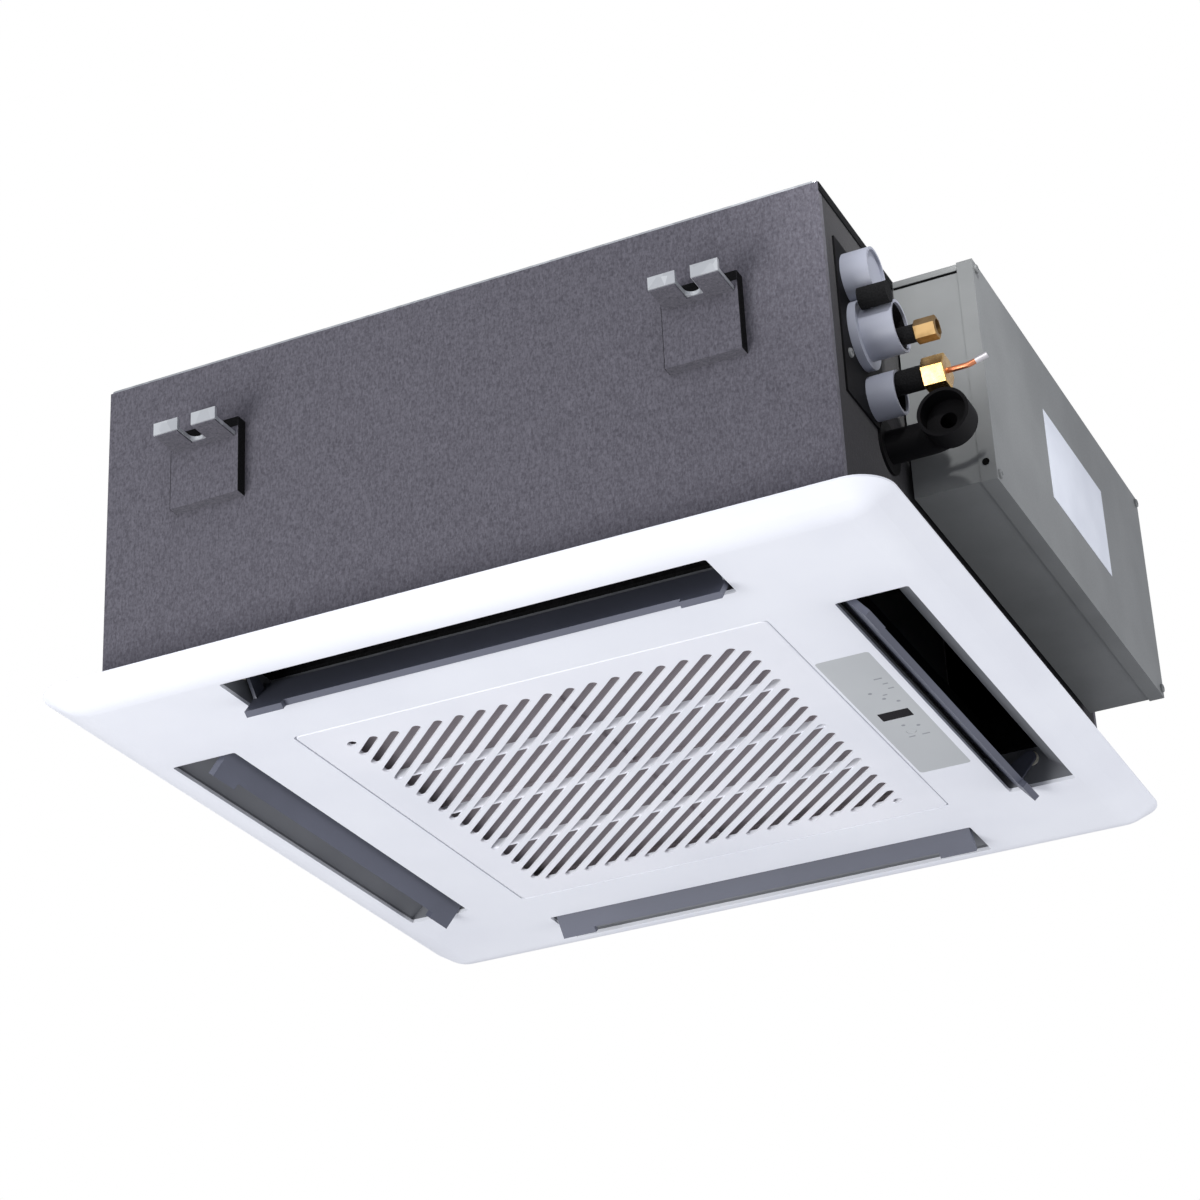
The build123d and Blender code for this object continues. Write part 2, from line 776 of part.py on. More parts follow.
with BuildPart() as grille_hinge_pins:
    pin_end = opening_half + panel_wall - seat_gap
    pin_root = grille_half - hinge_pin_length + grille_gap + panel_wall
    for end in (-1, 1):
        with BuildSketch(Plane.XZ.offset(end * pin_root)):
            with Locations((hinge_x, z_hinge)):
                Circle(hinge_pin_radius)
        extrude(amount=end * (pin_end - pin_root))
grille_hinge_pins.part.label = "grille_hinge_pins"
export_step(grille_hinge_pins.part, "parts/grille_hinge_pins.step")

with BuildPart() as filter_frame:
    with BuildSketch(Plane.XY.offset(z_face + filter_rise)):
        RectangleRounded(filter_side, filter_side, grille_corner)
        Rectangle(filter_side - 2 * filter_rim, filter_side - 2 * filter_rim, mode=Mode.SUBTRACT)
        Rectangle(filter_side - filter_rim, filter_rim / 2)
        Rectangle(filter_rim / 2, filter_side - filter_rim)
    extrude(amount=filter_thickness)
filter_frame.part.label = "filter_frame"
export_step(filter_frame.part, "parts/filter_frame.step")

with BuildPart() as filter_net:
    net_pitch = (filter_side - filter_rim) / filter_gaps
    with BuildSketch(Plane.XY.offset(z_face + filter_rise + filter_thickness)):
        Rectangle(filter_side - filter_rim / 2, filter_side - filter_rim / 2)
        with GridLocations(net_pitch, net_pitch, filter_gaps, filter_gaps):
            Rectangle(filter_gap_share * net_pitch, filter_gap_share * net_pitch, mode=Mode.SUBTRACT)
    extrude(amount=net_thickness)
filter_net.part.label = "filter_net"
export_step(filter_net.part, "parts/filter_net.step")

# push catches above the grille's rim wall
with BuildPart() as catch_housings:
    housing_low = z_recess - catch_housing_height
    housing_reach = opening_half - catch_x + 2 * catch_radius
    with BuildSketch(Plane.XY.offset(housing_low)):
        with GridLocations(0, 2 * catch_offset, 1, 2):
            with Locations((opening_half - housing_reach / 2, 0)):
                Rectangle(housing_reach, catch_housing_width)
    extrude(amount=catch_housing_height)
    with BuildSketch(Plane.XY.offset(housing_low)):
        with Locations((catch_x, catch_offset), (catch_x, -catch_offset)):
            Circle(catch_radius + pin_clearance)
    extrude(amount=z_catch + catch_length + catch_travel + seat_gap - housing_low, mode=Mode.SUBTRACT)
catch_housings.part.label = "catch_housings"
export_step(catch_housings.part, "parts/catch_housings.step")

for side, catch_y in {"front": -catch_offset, "back": catch_offset}.items():
    with BuildPart() as catch_plunger:
        with BuildSketch(Plane.XY.offset(z_catch)):
            with Locations((catch_x, catch_y)):
                Circle(catch_radius)
        extrude(amount=catch_length)
    catch_plunger.part.label = f"catch_plunger_{side}"
    export_step(catch_plunger.part, f"parts/catch_plunger_{side}.step")

with BuildPart() as panel_screws:
    head_base = z_recess - gusset_thickness - screw_head_height
    with BuildSketch(Plane.XY.offset(head_base)):
        with GridLocations(2 * panel_screw_place, 2 * panel_screw_place, 2, 2):
            Circle(screw_head_radius)
    extrude(amount=screw_head_height)
    with BuildSketch(Plane.XY.offset(z_recess - gusset_thickness)):
        with GridLocations(2 * panel_screw_place, 2 * panel_screw_place, 2, 2):
            Circle(screw_radius)
    extrude(amount=z_bottom + panel_screw_bite - z_recess + gusset_thickness)
panel_screws.part.label = "panel_screws"
export_step(panel_screws.part, "parts/panel_screws.step")

# ---------------------------------------------------------------- sheet-metal casing
with BuildPart() as casing_shell:
    with BuildSketch(Plane.XY.offset(z_bottom)):
        RectangleRounded(casing_side, casing_side, casing_corner)
        inner_side = casing_side - 2 * casing_wall
        RectangleRounded(inner_side, inner_side, casing_corner - casing_wall, mode=Mode.SUBTRACT)
    extrude(amount=body_height - top_thickness)
    # bottom flange with corner gussets
    with BuildSketch(Plane.XY.offset(z_bottom)):
        RectangleRounded(casing_side, casing_side, casing_corner)
        flange_opening = casing_side - 2 * casing_flange
        Rectangle(flange_opening, flange_opening, mode=Mode.SUBTRACT)
        with PolarLocations(flange_opening / sqrt(2), 4, start_angle=45):
            Polygon(*corner_triangle(casing_gusset), align=None)
    extrude(amount=casing_wall)
    # holes for the pipes and the drain in the right-hand wall
    with BuildSketch(face_plane(casing_half - 2 * casing_wall)):
        with Locations((liquid_y, z_liquid)):
            Circle(liquid_pipe_radius + pipe_hole_margin)
        with Locations((gas_y, z_gas)):
            Circle(gas_pipe_radius + pipe_hole_margin)
        with Locations((drain_y, z_drain)):
            Circle(nozzle_radius + pin_clearance)
    extrude(amount=4 * casing_wall, mode=Mode.SUBTRACT)
casing_shell.part.label = "casing_shell"
export_step(casing_shell.part, "parts/casing_shell.step")

with BuildPart() as top_plate:
    with BuildSketch(Plane.XY.offset(z_lid)):
        RectangleRounded(body_side, body_side, top_corner)
    extrude(amount=top_thickness)
top_plate.part.label = "top_plate"
export_step(top_plate.part, "parts/top_plate.step")

# felt jackets: front and back run the whole width, left and right fit between them
z_felt_middle = (z_bottom + z_lid) / 2
felt_height = z_lid - z_bottom
flange_room = hanger_thickness + small_head_height + felt_clearance
for side, facing in {"front": -1, "back": 1}.items():
    bracket_places = [(-hanger_x, 0), (hanger_x, 0)]
    with BuildPart() as jacket:
        with BuildSketch(Plane.XZ.offset(-facing * casing_half)):
            with Locations((0, z_felt_middle)):
                Rectangle(body_side, felt_height)
        extrude(amount=-facing * felt_thickness)
        # raised pads over the brackets
        with BuildSketch(Plane.XZ.offset(-facing * body_half)):
            with Locations((-hanger_x, felt_pad_centre), (hanger_x, felt_pad_centre)):
                Rectangle(felt_pad_width, felt_pad_height)
        extrude(amount=-facing * felt_pad_rise)
        # room for the bracket's flange behind the felt, and the slit for its plate
        with BuildSketch(Plane.XZ.offset(-facing * casing_half)):
            with Locations(*bracket_places):
                with Locations((0, hanger_thickness + felt_clearance)):
                    Rectangle(hanger_flange_width + 2 * felt_clearance,
                              hanger_flange_drop + hanger_thickness + 2 * felt_clearance,
                              align=(Align.CENTER, Align.MAX))
        extrude(amount=-facing * flange_room, mode=Mode.SUBTRACT)
        with BuildSketch(Plane.XZ.offset(-facing * casing_half)):
            with Locations(*bracket_places):
                with Locations((0, hanger_thickness / 2)):
                    Rectangle(hanger_width + 2 * felt_clearance, hanger_thickness + 2 * felt_clearance)
        extrude(amount=-facing * (felt_thickness + felt_pad_rise), mode=Mode.SUBTRACT)
    jacket.part.label = f"jacket_{side}"
    export_step(jacket.part, f"parts/jacket_{side}.step")

with BuildPart() as jacket_left:
    with BuildSketch(face_plane(-casing_half)):
        with Locations((0, z_felt_middle)):
            Rectangle(casing_side, felt_height)
    extrude(amount=-felt_thickness)
jacket_left.part.label = "jacket_left"
export_step(jacket_left.part, "parts/jacket_left.step")

with BuildPart() as jacket_right:
    with BuildSketch(face_plane(casing_half)):
        with Locations((0, z_felt_middle)):
            Rectangle(casing_side, felt_height)
        with Locations((liquid_y, z_liquid)):
            Circle(liquid_pipe_radius + pipe_hole_margin, mode=Mode.SUBTRACT)
        with Locations((gas_y, z_gas)):
            Circle(gas_pipe_radius + pipe_hole_margin, mode=Mode.SUBTRACT)
        with Locations((drain_y, z_drain)):
            Circle(nozzle_radius + pin_clearance, mode=Mode.SUBTRACT)
        with Locations((ebox_middle_y, ebox_middle_z)):
            with GridLocations(foot_pitch_y, foot_pitch_z, 2, 2):
                Rectangle(ebox_foot, ebox_foot, mode=Mode.SUBTRACT)
    extrude(amount=felt_thickness)
jacket_right.part.label = "jacket_right"
export_step(jacket_right.part, "parts/jacket_right.step")

# ---------------------------------------------------------------- hanger brackets
with BuildPart() as hanger_brackets:
    for facing in (-1, 1):
        near = facing * casing_half
        far = facing * hanger_reach
        for bracket_x in (-hanger_x, hanger_x):
            with BuildSketch(Plane.XY):
                with Locations((bracket_x, (near + far) / 2)):
                    Rectangle(hanger_width, abs(far - near))
            extrude(amount=hanger_thickness)
            # tip folded up
            with BuildSketch(Plane.XY):
                with Locations((bracket_x, far - facing * hanger_thickness / 2)):
                    Rectangle(hanger_width, hanger_thickness)
            extrude(amount=hanger_lip)
            # upright flange against the casing
            with BuildSketch(Plane.XY.offset(hanger_thickness)):
                with Locations((bracket_x, near + facing * hanger_thickness / 2)):
                    Rectangle(hanger_flange_width, hanger_thickness)
            extrude(amount=-hanger_flange_drop - hanger_thickness)
            # open slot for the hanging stud
            with BuildSketch(Plane.XY.offset(-hanger_lip)):
                with Locations((bracket_x, facing * hanger_y)):
                    Circle(hanger_slot / 2)
                slot_run = hanger_reach - hanger_y + hanger_slot
                with Locations((bracket_x, facing * (hanger_y + slot_run / 2))):
                    Rectangle(hanger_slot, slot_run)
            extrude(amount=2 * hanger_lip, mode=Mode.SUBTRACT)
hanger_brackets.part.label = "hanger_brackets"
export_step(hanger_brackets.part, "parts/hanger_brackets.step")

with BuildPart() as casing_screws:
    # two in each bracket flange
    for facing in (-1, 1):
        flange_face = casing_half + hanger_thickness
        with BuildSketch(Plane.XZ.offset(-facing * flange_face)):
            with Locations((-hanger_x, -hanger_screw_drop), (hanger_x, -hanger_screw_drop)):
                with GridLocations(hanger_flange_width / 2, 0, 2, 1):
                    Circle(small_head_radius)
        extrude(amount=-facing * small_head_height)
    # one in the pipe cover
    with BuildSketch(face_plane(body_half + cover_thickness)):
        with Locations((-body_half + cover_screw_inset, z_bottom + cover_screw_rise)):
            Circle(small_head_radius)
    extrude(amount=small_head_height)
    # four in the electrical box's cover
    with BuildSketch(face_plane(ebox_outer_x)):
        with Locations((ebox_middle_y, ebox_middle_z)):
            with GridLocations(ebox_length - ebox_lip, ebox_height - ebox_lip, 2, 2):
                Circle(small_head_radius)
    extrude(amount=small_head_height)
casing_screws.part.label = "casing_screws"
export_step(casing_screws.part, "parts/casing_screws.step")

# ---------------------------------------------------------------- foam duct and drain pan
with BuildPart() as duct_liner:
    with BuildSketch(Plane.XY.offset(z_pan)):
        RectangleRounded(foam_side, foam_side, casing_corner)
        Rectangle(2 * duct_outer, 2 * duct_outer, mode=Mode.SUBTRACT)
    extrude(amount=z_slab - z_pan)
    with BuildSketch(Plane.XY.offset(z_slab)):
        RectangleRounded(foam_side, foam_side, casing_corner)
        Circle(motor_flange_radius + motor_hole_margin, mode=Mode.SUBTRACT)
    extrude(amount=foam_slab)
    with BuildSketch(face_plane(duct_outer - foam_clearance)):
        with Locations((liquid_y, z_liquid)):
            Circle(liquid_pipe_radius + pipe_hole_margin)
        with Locations((gas_y, z_gas)):
            Circle(gas_pipe_radius + pipe_hole_margin)
        with Locations((drain_y, z_drain)):
            Circle(nozzle_radius + hose_wall + pipe_hole_margin)
    extrude(amount=foam_side / 2 - duct_outer + 2 * foam_clearance, mode=Mode.SUBTRACT)
duct_liner.part.label = "duct_liner"
export_step(duct_liner.part, "parts/duct_liner.step")

with BuildPart() as drain_pan:
    with BuildSketch(Plane.XY.offset(z_bottom)):
        flange_opening = casing_side - 2 * casing_flange
        Rectangle(flange_opening, flange_opening)
    extrude(amount=casing_wall)
    with BuildSketch(Plane.XY.offset(z_bottom)):
        with PolarLocations(flange_opening / sqrt(2), 4, start_angle=45):
            Polygon(*corner_triangle(casing_gusset), align=None)
    extrude(amount=casing_wall, mode=Mode.SUBTRACT)
    with BuildSketch(Plane.XY.offset(z_bottom + casing_wall)):
        RectangleRounded(foam_side, foam_side, casing_corner)
    extrude(amount=pan_height - casing_wall)
    # air channels and the intake mouth
    with BuildSketch(Plane.XY.offset(z_bottom)):
        with PolarLocations(duct_middle, 4):
            Rectangle(duct_width, slot_length)
        Circle(pan_mouth_radius)
    extrude(amount=pan_height, mode=Mode.SUBTRACT)
    # trough under the coil, and the pump's basin in the front right corner
    with BuildSketch(Plane.XY.offset(z_trough)):
        Rectangle(2 * pan_trough_outer, 2 * pan_trough_outer)
        RectangleRounded(2 * pan_trough_inner, 2 * pan_trough_inner, coil_corner, mode=Mode.SUBTRACT)
        with Locations((basin_centre, -basin_centre)):
            Rectangle(basin_side, basin_side)
    extrude(amount=pan_trough_depth, mode=Mode.SUBTRACT)
    with BuildSketch(Plane.XY.offset(z_pan - basin_depth)):
        with Locations((basin_centre, -basin_centre)):
            Rectangle(basin_side, basin_side)
    extrude(amount=basin_depth, mode=Mode.SUBTRACT)
    # drain plug hole and pilot holes of the panel screws
    with BuildSketch(Plane.XY.offset(z_bottom)):
        with Locations((basin_centre, -basin_centre)):
            Circle(plug_radius)
        with GridLocations(2 * panel_screw_place, 2 * panel_screw_place, 2, 2):
            Circle(screw_radius)
    extrude(amount=panel_screw_bite, mode=Mode.SUBTRACT)
drain_pan.part.label = "drain_pan"
export_step(drain_pan.part, "parts/drain_pan.step")

with BuildPart() as drain_plug:
    with BuildSketch(Plane.XY.offset(z_bottom - plug_flange)):
        with Locations((basin_centre, -basin_centre)):
            Circle(plug_flange_radius)
    extrude(amount=plug_flange)
    with BuildSketch(Plane.XY.offset(z_bottom)):
        with Locations((basin_centre, -basin_centre)):
            Circle(plug_radius)
    extrude(amount=pan_height - basin_depth)
drain_plug.part.label = "drain_plug"
export_step(drain_plug.part, "parts/drain_plug.step")

with BuildPart() as bellmouth:
    with BuildSketch(Plane.XZ):
        with BuildLine():
            flare_z = z_bottom - bell_wall
            flare_top = flare_z + bell_radius
            flare_in = RadiusArc((pan_mouth_radius, flare_z), (bell_throat, flare_top), bell_radius)
            lip = Line(flare_in @ 1, (bell_throat + bell_wall, flare_top))
            flare_out = RadiusArc(lip @ 1, (pan_mouth_radius, z_bottom), -(bell_radius - bell_wall))
            Polyline(flare_out @ 1, (bell_flange_radius, z_bottom), (bell_flange_radius, flare_z),
                     flare_in @ 0)
        make_face()
    revolve(axis=Axis.Z)
bellmouth.part.label = "bellmouth"
export_step(bellmouth.part, "parts/bellmouth.step")

# ---------------------------------------------------------------- coil
with BuildPart() as coil_fins:
    with BuildSketch(Plane.XY.offset(z_trough)):
        RectangleRounded(2 * coil_outer, 2 * coil_outer, coil_corner + coil_depth)
        RectangleRounded(2 * coil_inner, 2 * coil_inner, coil_corner, mode=Mode.SUBTRACT)
        with Locations((coil_stop, -coil_stop)):
            Rectangle(coil_outer, coil_outer, align=(Align.MIN, Align.MAX), mode=Mode.SUBTRACT)
    extrude(amount=coil_height)
coil_fins.part.label = "coil_fins"
export_step(coil_fins.part, "parts/coil_fins.step")

# return bends stand out of both free ends of the coil
with BuildPart() as coil_tubes:
    for row in range(bend_rows):
        bend_z = z_trough + bend_pitch * (row + 0.5) + bend_radius
        for end_plane in (Plane(origin=(bend_out, -coil_stop, bend_z), x_dir=(0, 0, 1), z_dir=(1, 0, 0)),
                          Plane(origin=(coil_stop, -bend_out, bend_z), x_dir=(0, 0, 1), z_dir=(0, 1, 0))):
            with BuildLine(end_plane) as bend_path:
                ThreePointArc((-bend_radius, 0), (0, bend_radius), (bend_radius, 0))
            with BuildSketch(Plane(origin=bend_path.line @ 0, z_dir=bend_path.line % 0)):
                Circle(bend_tube_radius)
            sweep(path=bend_path.line)
coil_tubes.part.label = "coil_tubes"
export_step(coil_tubes.part, "parts/coil_tubes.step")

# ---------------------------------------------------------------- fan
with BuildPart() as fan_wheel:
    # inlet ring and shroud
    with BuildSketch(Plane.XZ):
        with BuildLine():
            ring_low = z_bottom + fan_bottom
            ring_high = ring_low + fan_inlet_straight
            shroud_high = ring_high + fan_shroud_rise
            Polyline((fan_inlet_radius, ring_low), (fan_inlet_radius + fan_skin, ring_low),
                     (fan_inlet_radius + fan_skin, ring_high - fan_skin),
                     (fan_radius, shroud_high - fan_skin), (fan_radius, shroud_high),
                     (fan_inlet_radius, ring_high), (fan_inlet_radius, ring_low))
        make_face()
    revolve(axis=Axis.Z)
    # back disc and hub
    with BuildSketch(Plane.XY.offset(z_fan_back)):
        Circle(fan_radius)
    extrude(amount=fan_skin)
    with BuildSketch(Plane.XY.offset(z_fan_back)):
        Circle(fan_hub_radius)
    extrude(amount=-fan_hub_drop)
    # blades lean backwards from the hub side to the rim
    with BuildSketch(Plane.XY.offset(ring_high)):
        with PolarLocations(fan_blade_root, fan_blades):
            blade_run = fan_radius - fan_blade_root
            with Locations(Location((0, 0), -fan_blade_lean)):
                Rectangle(blade_run, fan_blade_thickness, align=(Align.MIN, Align.CENTER))
    extrude(amount=z_fan_back - ring_high)
    # the shroud trims the blades' lower outer corners
    with BuildSketch(Plane.XZ):
        with BuildLine():
            Polyline((fan_inlet_radius, ring_high - fan_skin),
                     (fan_inlet_radius + fan_skin, ring_high - fan_skin),
                     (fan_radius, shroud_high - fan_skin), (fan_radius + fan_skin, shroud_high - fan_skin),
                     (fan_radius + fan_skin, ring_low), (fan_inlet_radius + fan_skin, ring_low),
                     (fan_inlet_radius + fan_skin, ring_high - fan_skin))
        make_face()
    revolve(axis=Axis.Z, mode=Mode.SUBTRACT)
    with BuildSketch(Plane.XY.offset(z_fan_top)):
        Circle(shaft_radius)
    extrude(amount=-fan_hub_drop - fan_skin, mode=Mode.SUBTRACT)
fan_wheel.part.label = "fan_wheel"
export_step(fan_wheel.part, "parts/fan_wheel.step")

with BuildPart() as fan_shaft:
    shaft_low = z_hub - shaft_overhang
    with BuildSketch(Plane.XY.offset(shaft_low)):
        Circle(shaft_radius)
    extrude(amount=z_motor_top - motor_flange - shaft_low)
fan_shaft.part.label = "fan_shaft"
export_step(fan_shaft.part, "parts/fan_shaft.step")

with BuildPart() as fan_nut:
    with BuildSketch(Plane.XY.offset(z_hub)):
        RegularPolygon(fan_nut_radius, 6)
        Circle(shaft_radius, mode=Mode.SUBTRACT)
    extrude(amount=-fan_nut_height)
fan_nut.part.label = "fan_nut"
export_step(fan_nut.part, "parts/fan_nut.step")

with BuildPart() as fan_motor:
    with BuildSketch(Plane.XY.offset(z_motor)):
        Circle(motor_radius)
    extrude(amount=motor_height)
    fillet(fan_motor.faces().sort_by(Axis.Z)[0].edges(), radius=motor_flange)
    with BuildSketch(Plane.XY.offset(z_motor_top - motor_flange)):
        Circle(motor_flange_radius)
    extrude(amount=motor_flange)
    with BuildSketch(Plane.XY.offset(z_motor)):
        Circle(shaft_radius + pin_clearance)
    extrude(amount=motor_height - motor_flange, mode=Mode.SUBTRACT)
fan_motor.part.label = "fan_motor"
export_step(fan_motor.part, "parts/fan_motor.step")

with BuildPart() as motor_mounts:
    with BuildSketch(Plane.XY.offset(z_motor_top)):
        with PolarLocations(motor_mount_circle, 4, start_angle=45):
            Circle(motor_mount_radius)
    extrude(amount=motor_mount_height)
motor_mounts.part.label = "motor_mounts"
export_step(motor_mounts.part, "parts/motor_mounts.step")

# ---------------------------------------------------------------- drain pump, float and hose
with BuildPart() as drain_pump:
    with BuildSketch(Plane.XY.offset(z_pump)):
        with Locations((pump_centre, -pump_centre)):
            Circle(pump_radius)
    extrude(amount=pump_height)
    with BuildSketch(Plane.XY.offset(z_skirt)):
        with Locations((pump_centre, -pump_centre)):
            Circle(pump_skirt_radius)
    extrude(amount=pump_bottom - pump_skirt_bottom)
    with BuildSketch(Plane.XY.offset(z_skirt)):
        with Locations((pump_centre, -pump_centre)):
            Circle(impeller_radius + impeller_clearance)
    extrude(amount=impeller_height + 2 * impeller_clearance, mode=Mode.SUBTRACT)
    with BuildSketch(Plane.XY.offset(z_skirt)):
        with Locations((pump_centre, -pump_centre)):
            Circle(impeller_shaft_radius + pin_clearance)
    extrude(amount=pump_height / 2, mode=Mode.SUBTRACT)
    # outlet nozzle
    with BuildSketch(Plane.XZ.offset(pump_centre)):
        with Locations((pump_centre, z_nozzle)):
            Circle(nozzle_radius)
    extrude(amount=-pump_radius - nozzle_reach)
    # bracket that reaches the foam wall
    with BuildSketch(Plane.XY.offset(z_pump_top)):
        with BuildLine():
            Polyline((duct_outer, -pump_centre - pump_radius), (duct_outer, -pump_centre + pump_radius),
                     (float_centre + float_radius, -float_centre + float_radius),
                     (float_centre - float_radius, -float_centre - float_radius),
                     (pump_centre - pump_radius, -duct_outer), (pump_centre + pump_radius, -duct_outer),
                     (duct_outer, -pump_centre - pump_radius))
        make_face()
    extrude(amount=pump_bracket)
drain_pump.part.label = "drain_pump"
export_step(drain_pump.part, "parts/drain_pump.step")

with BuildPart() as pump_impeller:
    with BuildSketch(Plane.XY.offset(z_skirt + impeller_clearance)):
        with Locations((pump_centre, -pump_centre)):
            Circle(impeller_shaft_radius)
    extrude(amount=pump_height / 2 - 2 * impeller_clearance)
    with BuildSketch(Plane.XY.offset(z_skirt + impeller_clearance)):
        with Locations((pump_centre, -pump_centre)):
            Rectangle(2 * impeller_radius, impeller_shaft_radius)
            Rectangle(impeller_shaft_radius, 2 * impeller_radius)
            Circle(2 * impeller_shaft_radius)
    extrude(amount=impeller_height)
pump_impeller.part.label = "pump_impeller"
export_step(pump_impeller.part, "parts/pump_impeller.step")

with BuildPart() as float_switch:
    with BuildSketch(Plane.XY.offset(z_pump_top)):
        with Locations((float_centre, -float_centre)):
            Circle(float_stem_radius)
    extrude(amount=z_float - seat_gap - z_pump_top)
    # clip at the foot of the stem, and head above the float's travel
    with BuildSketch(Plane.XY.offset(z_float - seat_gap)):
        with Locations((float_centre, -float_centre)):
            Circle(float_stem_radius + float_clip)
    extrude(amount=-2 * seat_gap)
    with BuildSketch(Plane.XY.offset(z_pump_top)):
        with Locations((float_centre, -float_centre)):
            Circle(float_radius)
    head_low = z_float + float_height + float_travel + seat_gap
    extrude(amount=head_low - z_pump_top)
float_switch.part.label = "float_switch"
export_step(float_switch.part, "parts/float_switch.step")

with BuildPart() as float_ring:
    with BuildSketch(Plane.XY.offset(z_float)):
        with Locations((float_centre, -float_centre)):
            Circle(float_radius)
            Circle(float_stem_radius + pin_clearance, mode=Mode.SUBTRACT)
    extrude(amount=float_height)
float_ring.part.label = "float_ring"
export_step(float_ring.part, "parts/float_ring.step")

hose_start = -pump_centre + pump_radius + hose_wall
with BuildPart() as drain_hose:
    with BuildLine() as hose_path:
        knee_one = (pump_centre, hose_start + nozzle_reach + hose_straight, z_nozzle)
        knee_two = (pump_centre, drain_y, z_drain)
        FilletPolyline((pump_centre, hose_start, z_nozzle), knee_one, knee_two,
                       (duct_outer, drain_y, z_drain), radius=(hose_first_bend, hose_second_bend))
    with BuildSketch(Plane(origin=hose_path.line @ 0, z_dir=hose_path.line % 0)):
        Circle(nozzle_radius + hose_wall)
        Circle(nozzle_radius + hose_clearance, mode=Mode.SUBTRACT)
    sweep(path=hose_path.line)
drain_hose.part.label = "drain_hose"
export_step(drain_hose.part, "parts/drain_hose.step")

# black elbow out of the right-hand face, with a wide socket whose mouth faces the front
stub_start = duct_outer - nozzle_reach
with BuildPart() as drain_outlet:
    with BuildLine() as elbow_path:
        elbow_run = Line((stub_start, drain_y, z_drain), (drain_out - drain_elbow, drain_y, z_drain))
        bend = RadiusArc(elbow_run @ 1, (drain_out, drain_y - drain_elbow, z_drain), drain_elbow)
        Line(bend @ 1, (drain_out, drain_mouth_y, z_drain))
    with BuildSketch(face_plane(stub_start)):
        with Locations((drain_y, z_drain)):
            Circle(drain_pipe_radius)
    sweep(path=elbow_path.line)
    with BuildSketch(Plane.XZ.offset(-drain_mouth_y)):
        with Locations((drain_out, z_drain)):
            Circle(drain_radius)
    extrude(amount=-drain_socket_length)
    with BuildSketch(face_plane(body_half)):
        with Locations((drain_y, z_drain)):
            Circle(drain_flange_radius)
    extrude(amount=drain_flange)
    # behind the face the pipe is turned down to a stub that takes the inner hose
    with BuildSketch(face_plane(stub_start)):
        with Locations((drain_y, z_drain)):
            Circle(drain_radius)
            Circle(nozzle_radius, mode=Mode.SUBTRACT)
    extrude(amount=body_half - stub_start, mode=Mode.SUBTRACT)
    # socket bore from the mouth, and the water passage behind it
    with BuildSketch(Plane.XZ.offset(-drain_mouth_y)):
        with Locations((drain_out, z_drain)):
            Circle(drain_bore_radius)
    extrude(amount=-drain_bore_depth, mode=Mode.SUBTRACT)
    with BuildSketch(face_plane(stub_start)):
        with Locations((drain_y, z_drain)):
            Circle(drain_passage_radius)
    sweep(path=elbow_path.line, mode=Mode.SUBTRACT)
drain_outlet.part.label = "drain_outlet"
export_step(drain_outlet.part, "parts/drain_outlet.step")

# ---------------------------------------------------------------- refrigerant pipes
for name, pipe_y, pipe_z, radius, stop in (
        ("liquid_pipe", liquid_y, z_liquid, liquid_pipe_radius,
         liquid_nut_start + liquid_nut_length - liquid_thread_depth),
        ("gas_pipe", gas_y, z_gas, gas_pipe_radius, gas_nut_start + gas_nut_length / 2)):
    with BuildPart() as pipe:
        with BuildLine() as pipe_path:
            FilletPolyline((pipe_root, -coil_stop, pipe_z), (pipe_root, pipe_y, pipe_z),
                           (stop, pipe_y, pipe_z), radius=4 * radius)
        with BuildSketch(Plane(origin=pipe_path.line @ 0, z_dir=pipe_path.line % 0)):
            Circle(radius)
            Circle(radius - pipe_wall, mode=Mode.SUBTRACT)
        sweep(path=pipe_path.line)
    pipe.part.label = name
    export_step(pipe.part, f"parts/{name}.step")

with BuildPart() as liquid_nut:
    with BuildSketch(face_plane(liquid_nut_start)):
        with Locations((liquid_y, z_liquid)):
            RegularPolygon(liquid_nut_flats / 2, 6, major_radius=False)
    extrude(amount=liquid_nut_length)
    chamfer(liquid_nut.faces().filter_by(Axis.X).edges(), length=pipe_wall)
    with BuildSketch(face_plane(liquid_nut_start)):
        with Locations((liquid_y, z_liquid)):
            Circle(liquid_pipe_radius)
    extrude(amount=liquid_nut_length, mode=Mode.SUBTRACT)
    with BuildSketch(face_plane(liquid_nut_start + liquid_nut_length)):
        with Locations((liquid_y, z_liquid)):
            Circle(liquid_thread_radius)
    extrude(amount=-liquid_thread_depth, mode=Mode.SUBTRACT)
liquid_nut.part.label = "liquid_nut"
export_step(liquid_nut.part, "parts/liquid_nut.step")

with BuildPart() as gas_nut:
    with BuildSketch(face_plane(gas_nut_start)):
        with Locations((gas_y, z_gas)):
            RegularPolygon(gas_nut_flats / 2, 6, major_radius=False)
    extrude(amount=gas_nut_length)
    chamfer(gas_nut.faces().filter_by(Axis.X).edges(), length=pipe_wall)
    with BuildSketch(face_plane(gas_nut_start)):
        with Locations((gas_y, z_gas)):
            Circle(gas_pipe_radius)
    extrude(amount=gas_nut_length / 2, mode=Mode.SUBTRACT)
gas_nut.part.label = "gas_nut"
export_step(gas_nut.part, "parts/gas_nut.step")

# thin sealed tube brazed into the gas nut
with BuildPart() as charging_tail:
    tail_start = gas_nut_start + gas_nut_length
    with BuildLine() as tail_path:
        FilletPolyline((tail_start, gas_y, z_gas), (tail_start + tail_run, gas_y, z_gas),
                       (tail_start + tail_length, gas_y, z_gas + tail_lift), radius=8 * tail_radius)
    with BuildSketch(Plane(origin=tail_path.line @ 0, z_dir=tail_path.line % 0)):
        Circle(tail_radius)
    sweep(path=tail_path.line)
charging_tail.part.label = "charging_tail"
export_step(charging_tail.part, "parts/charging_tail.step")

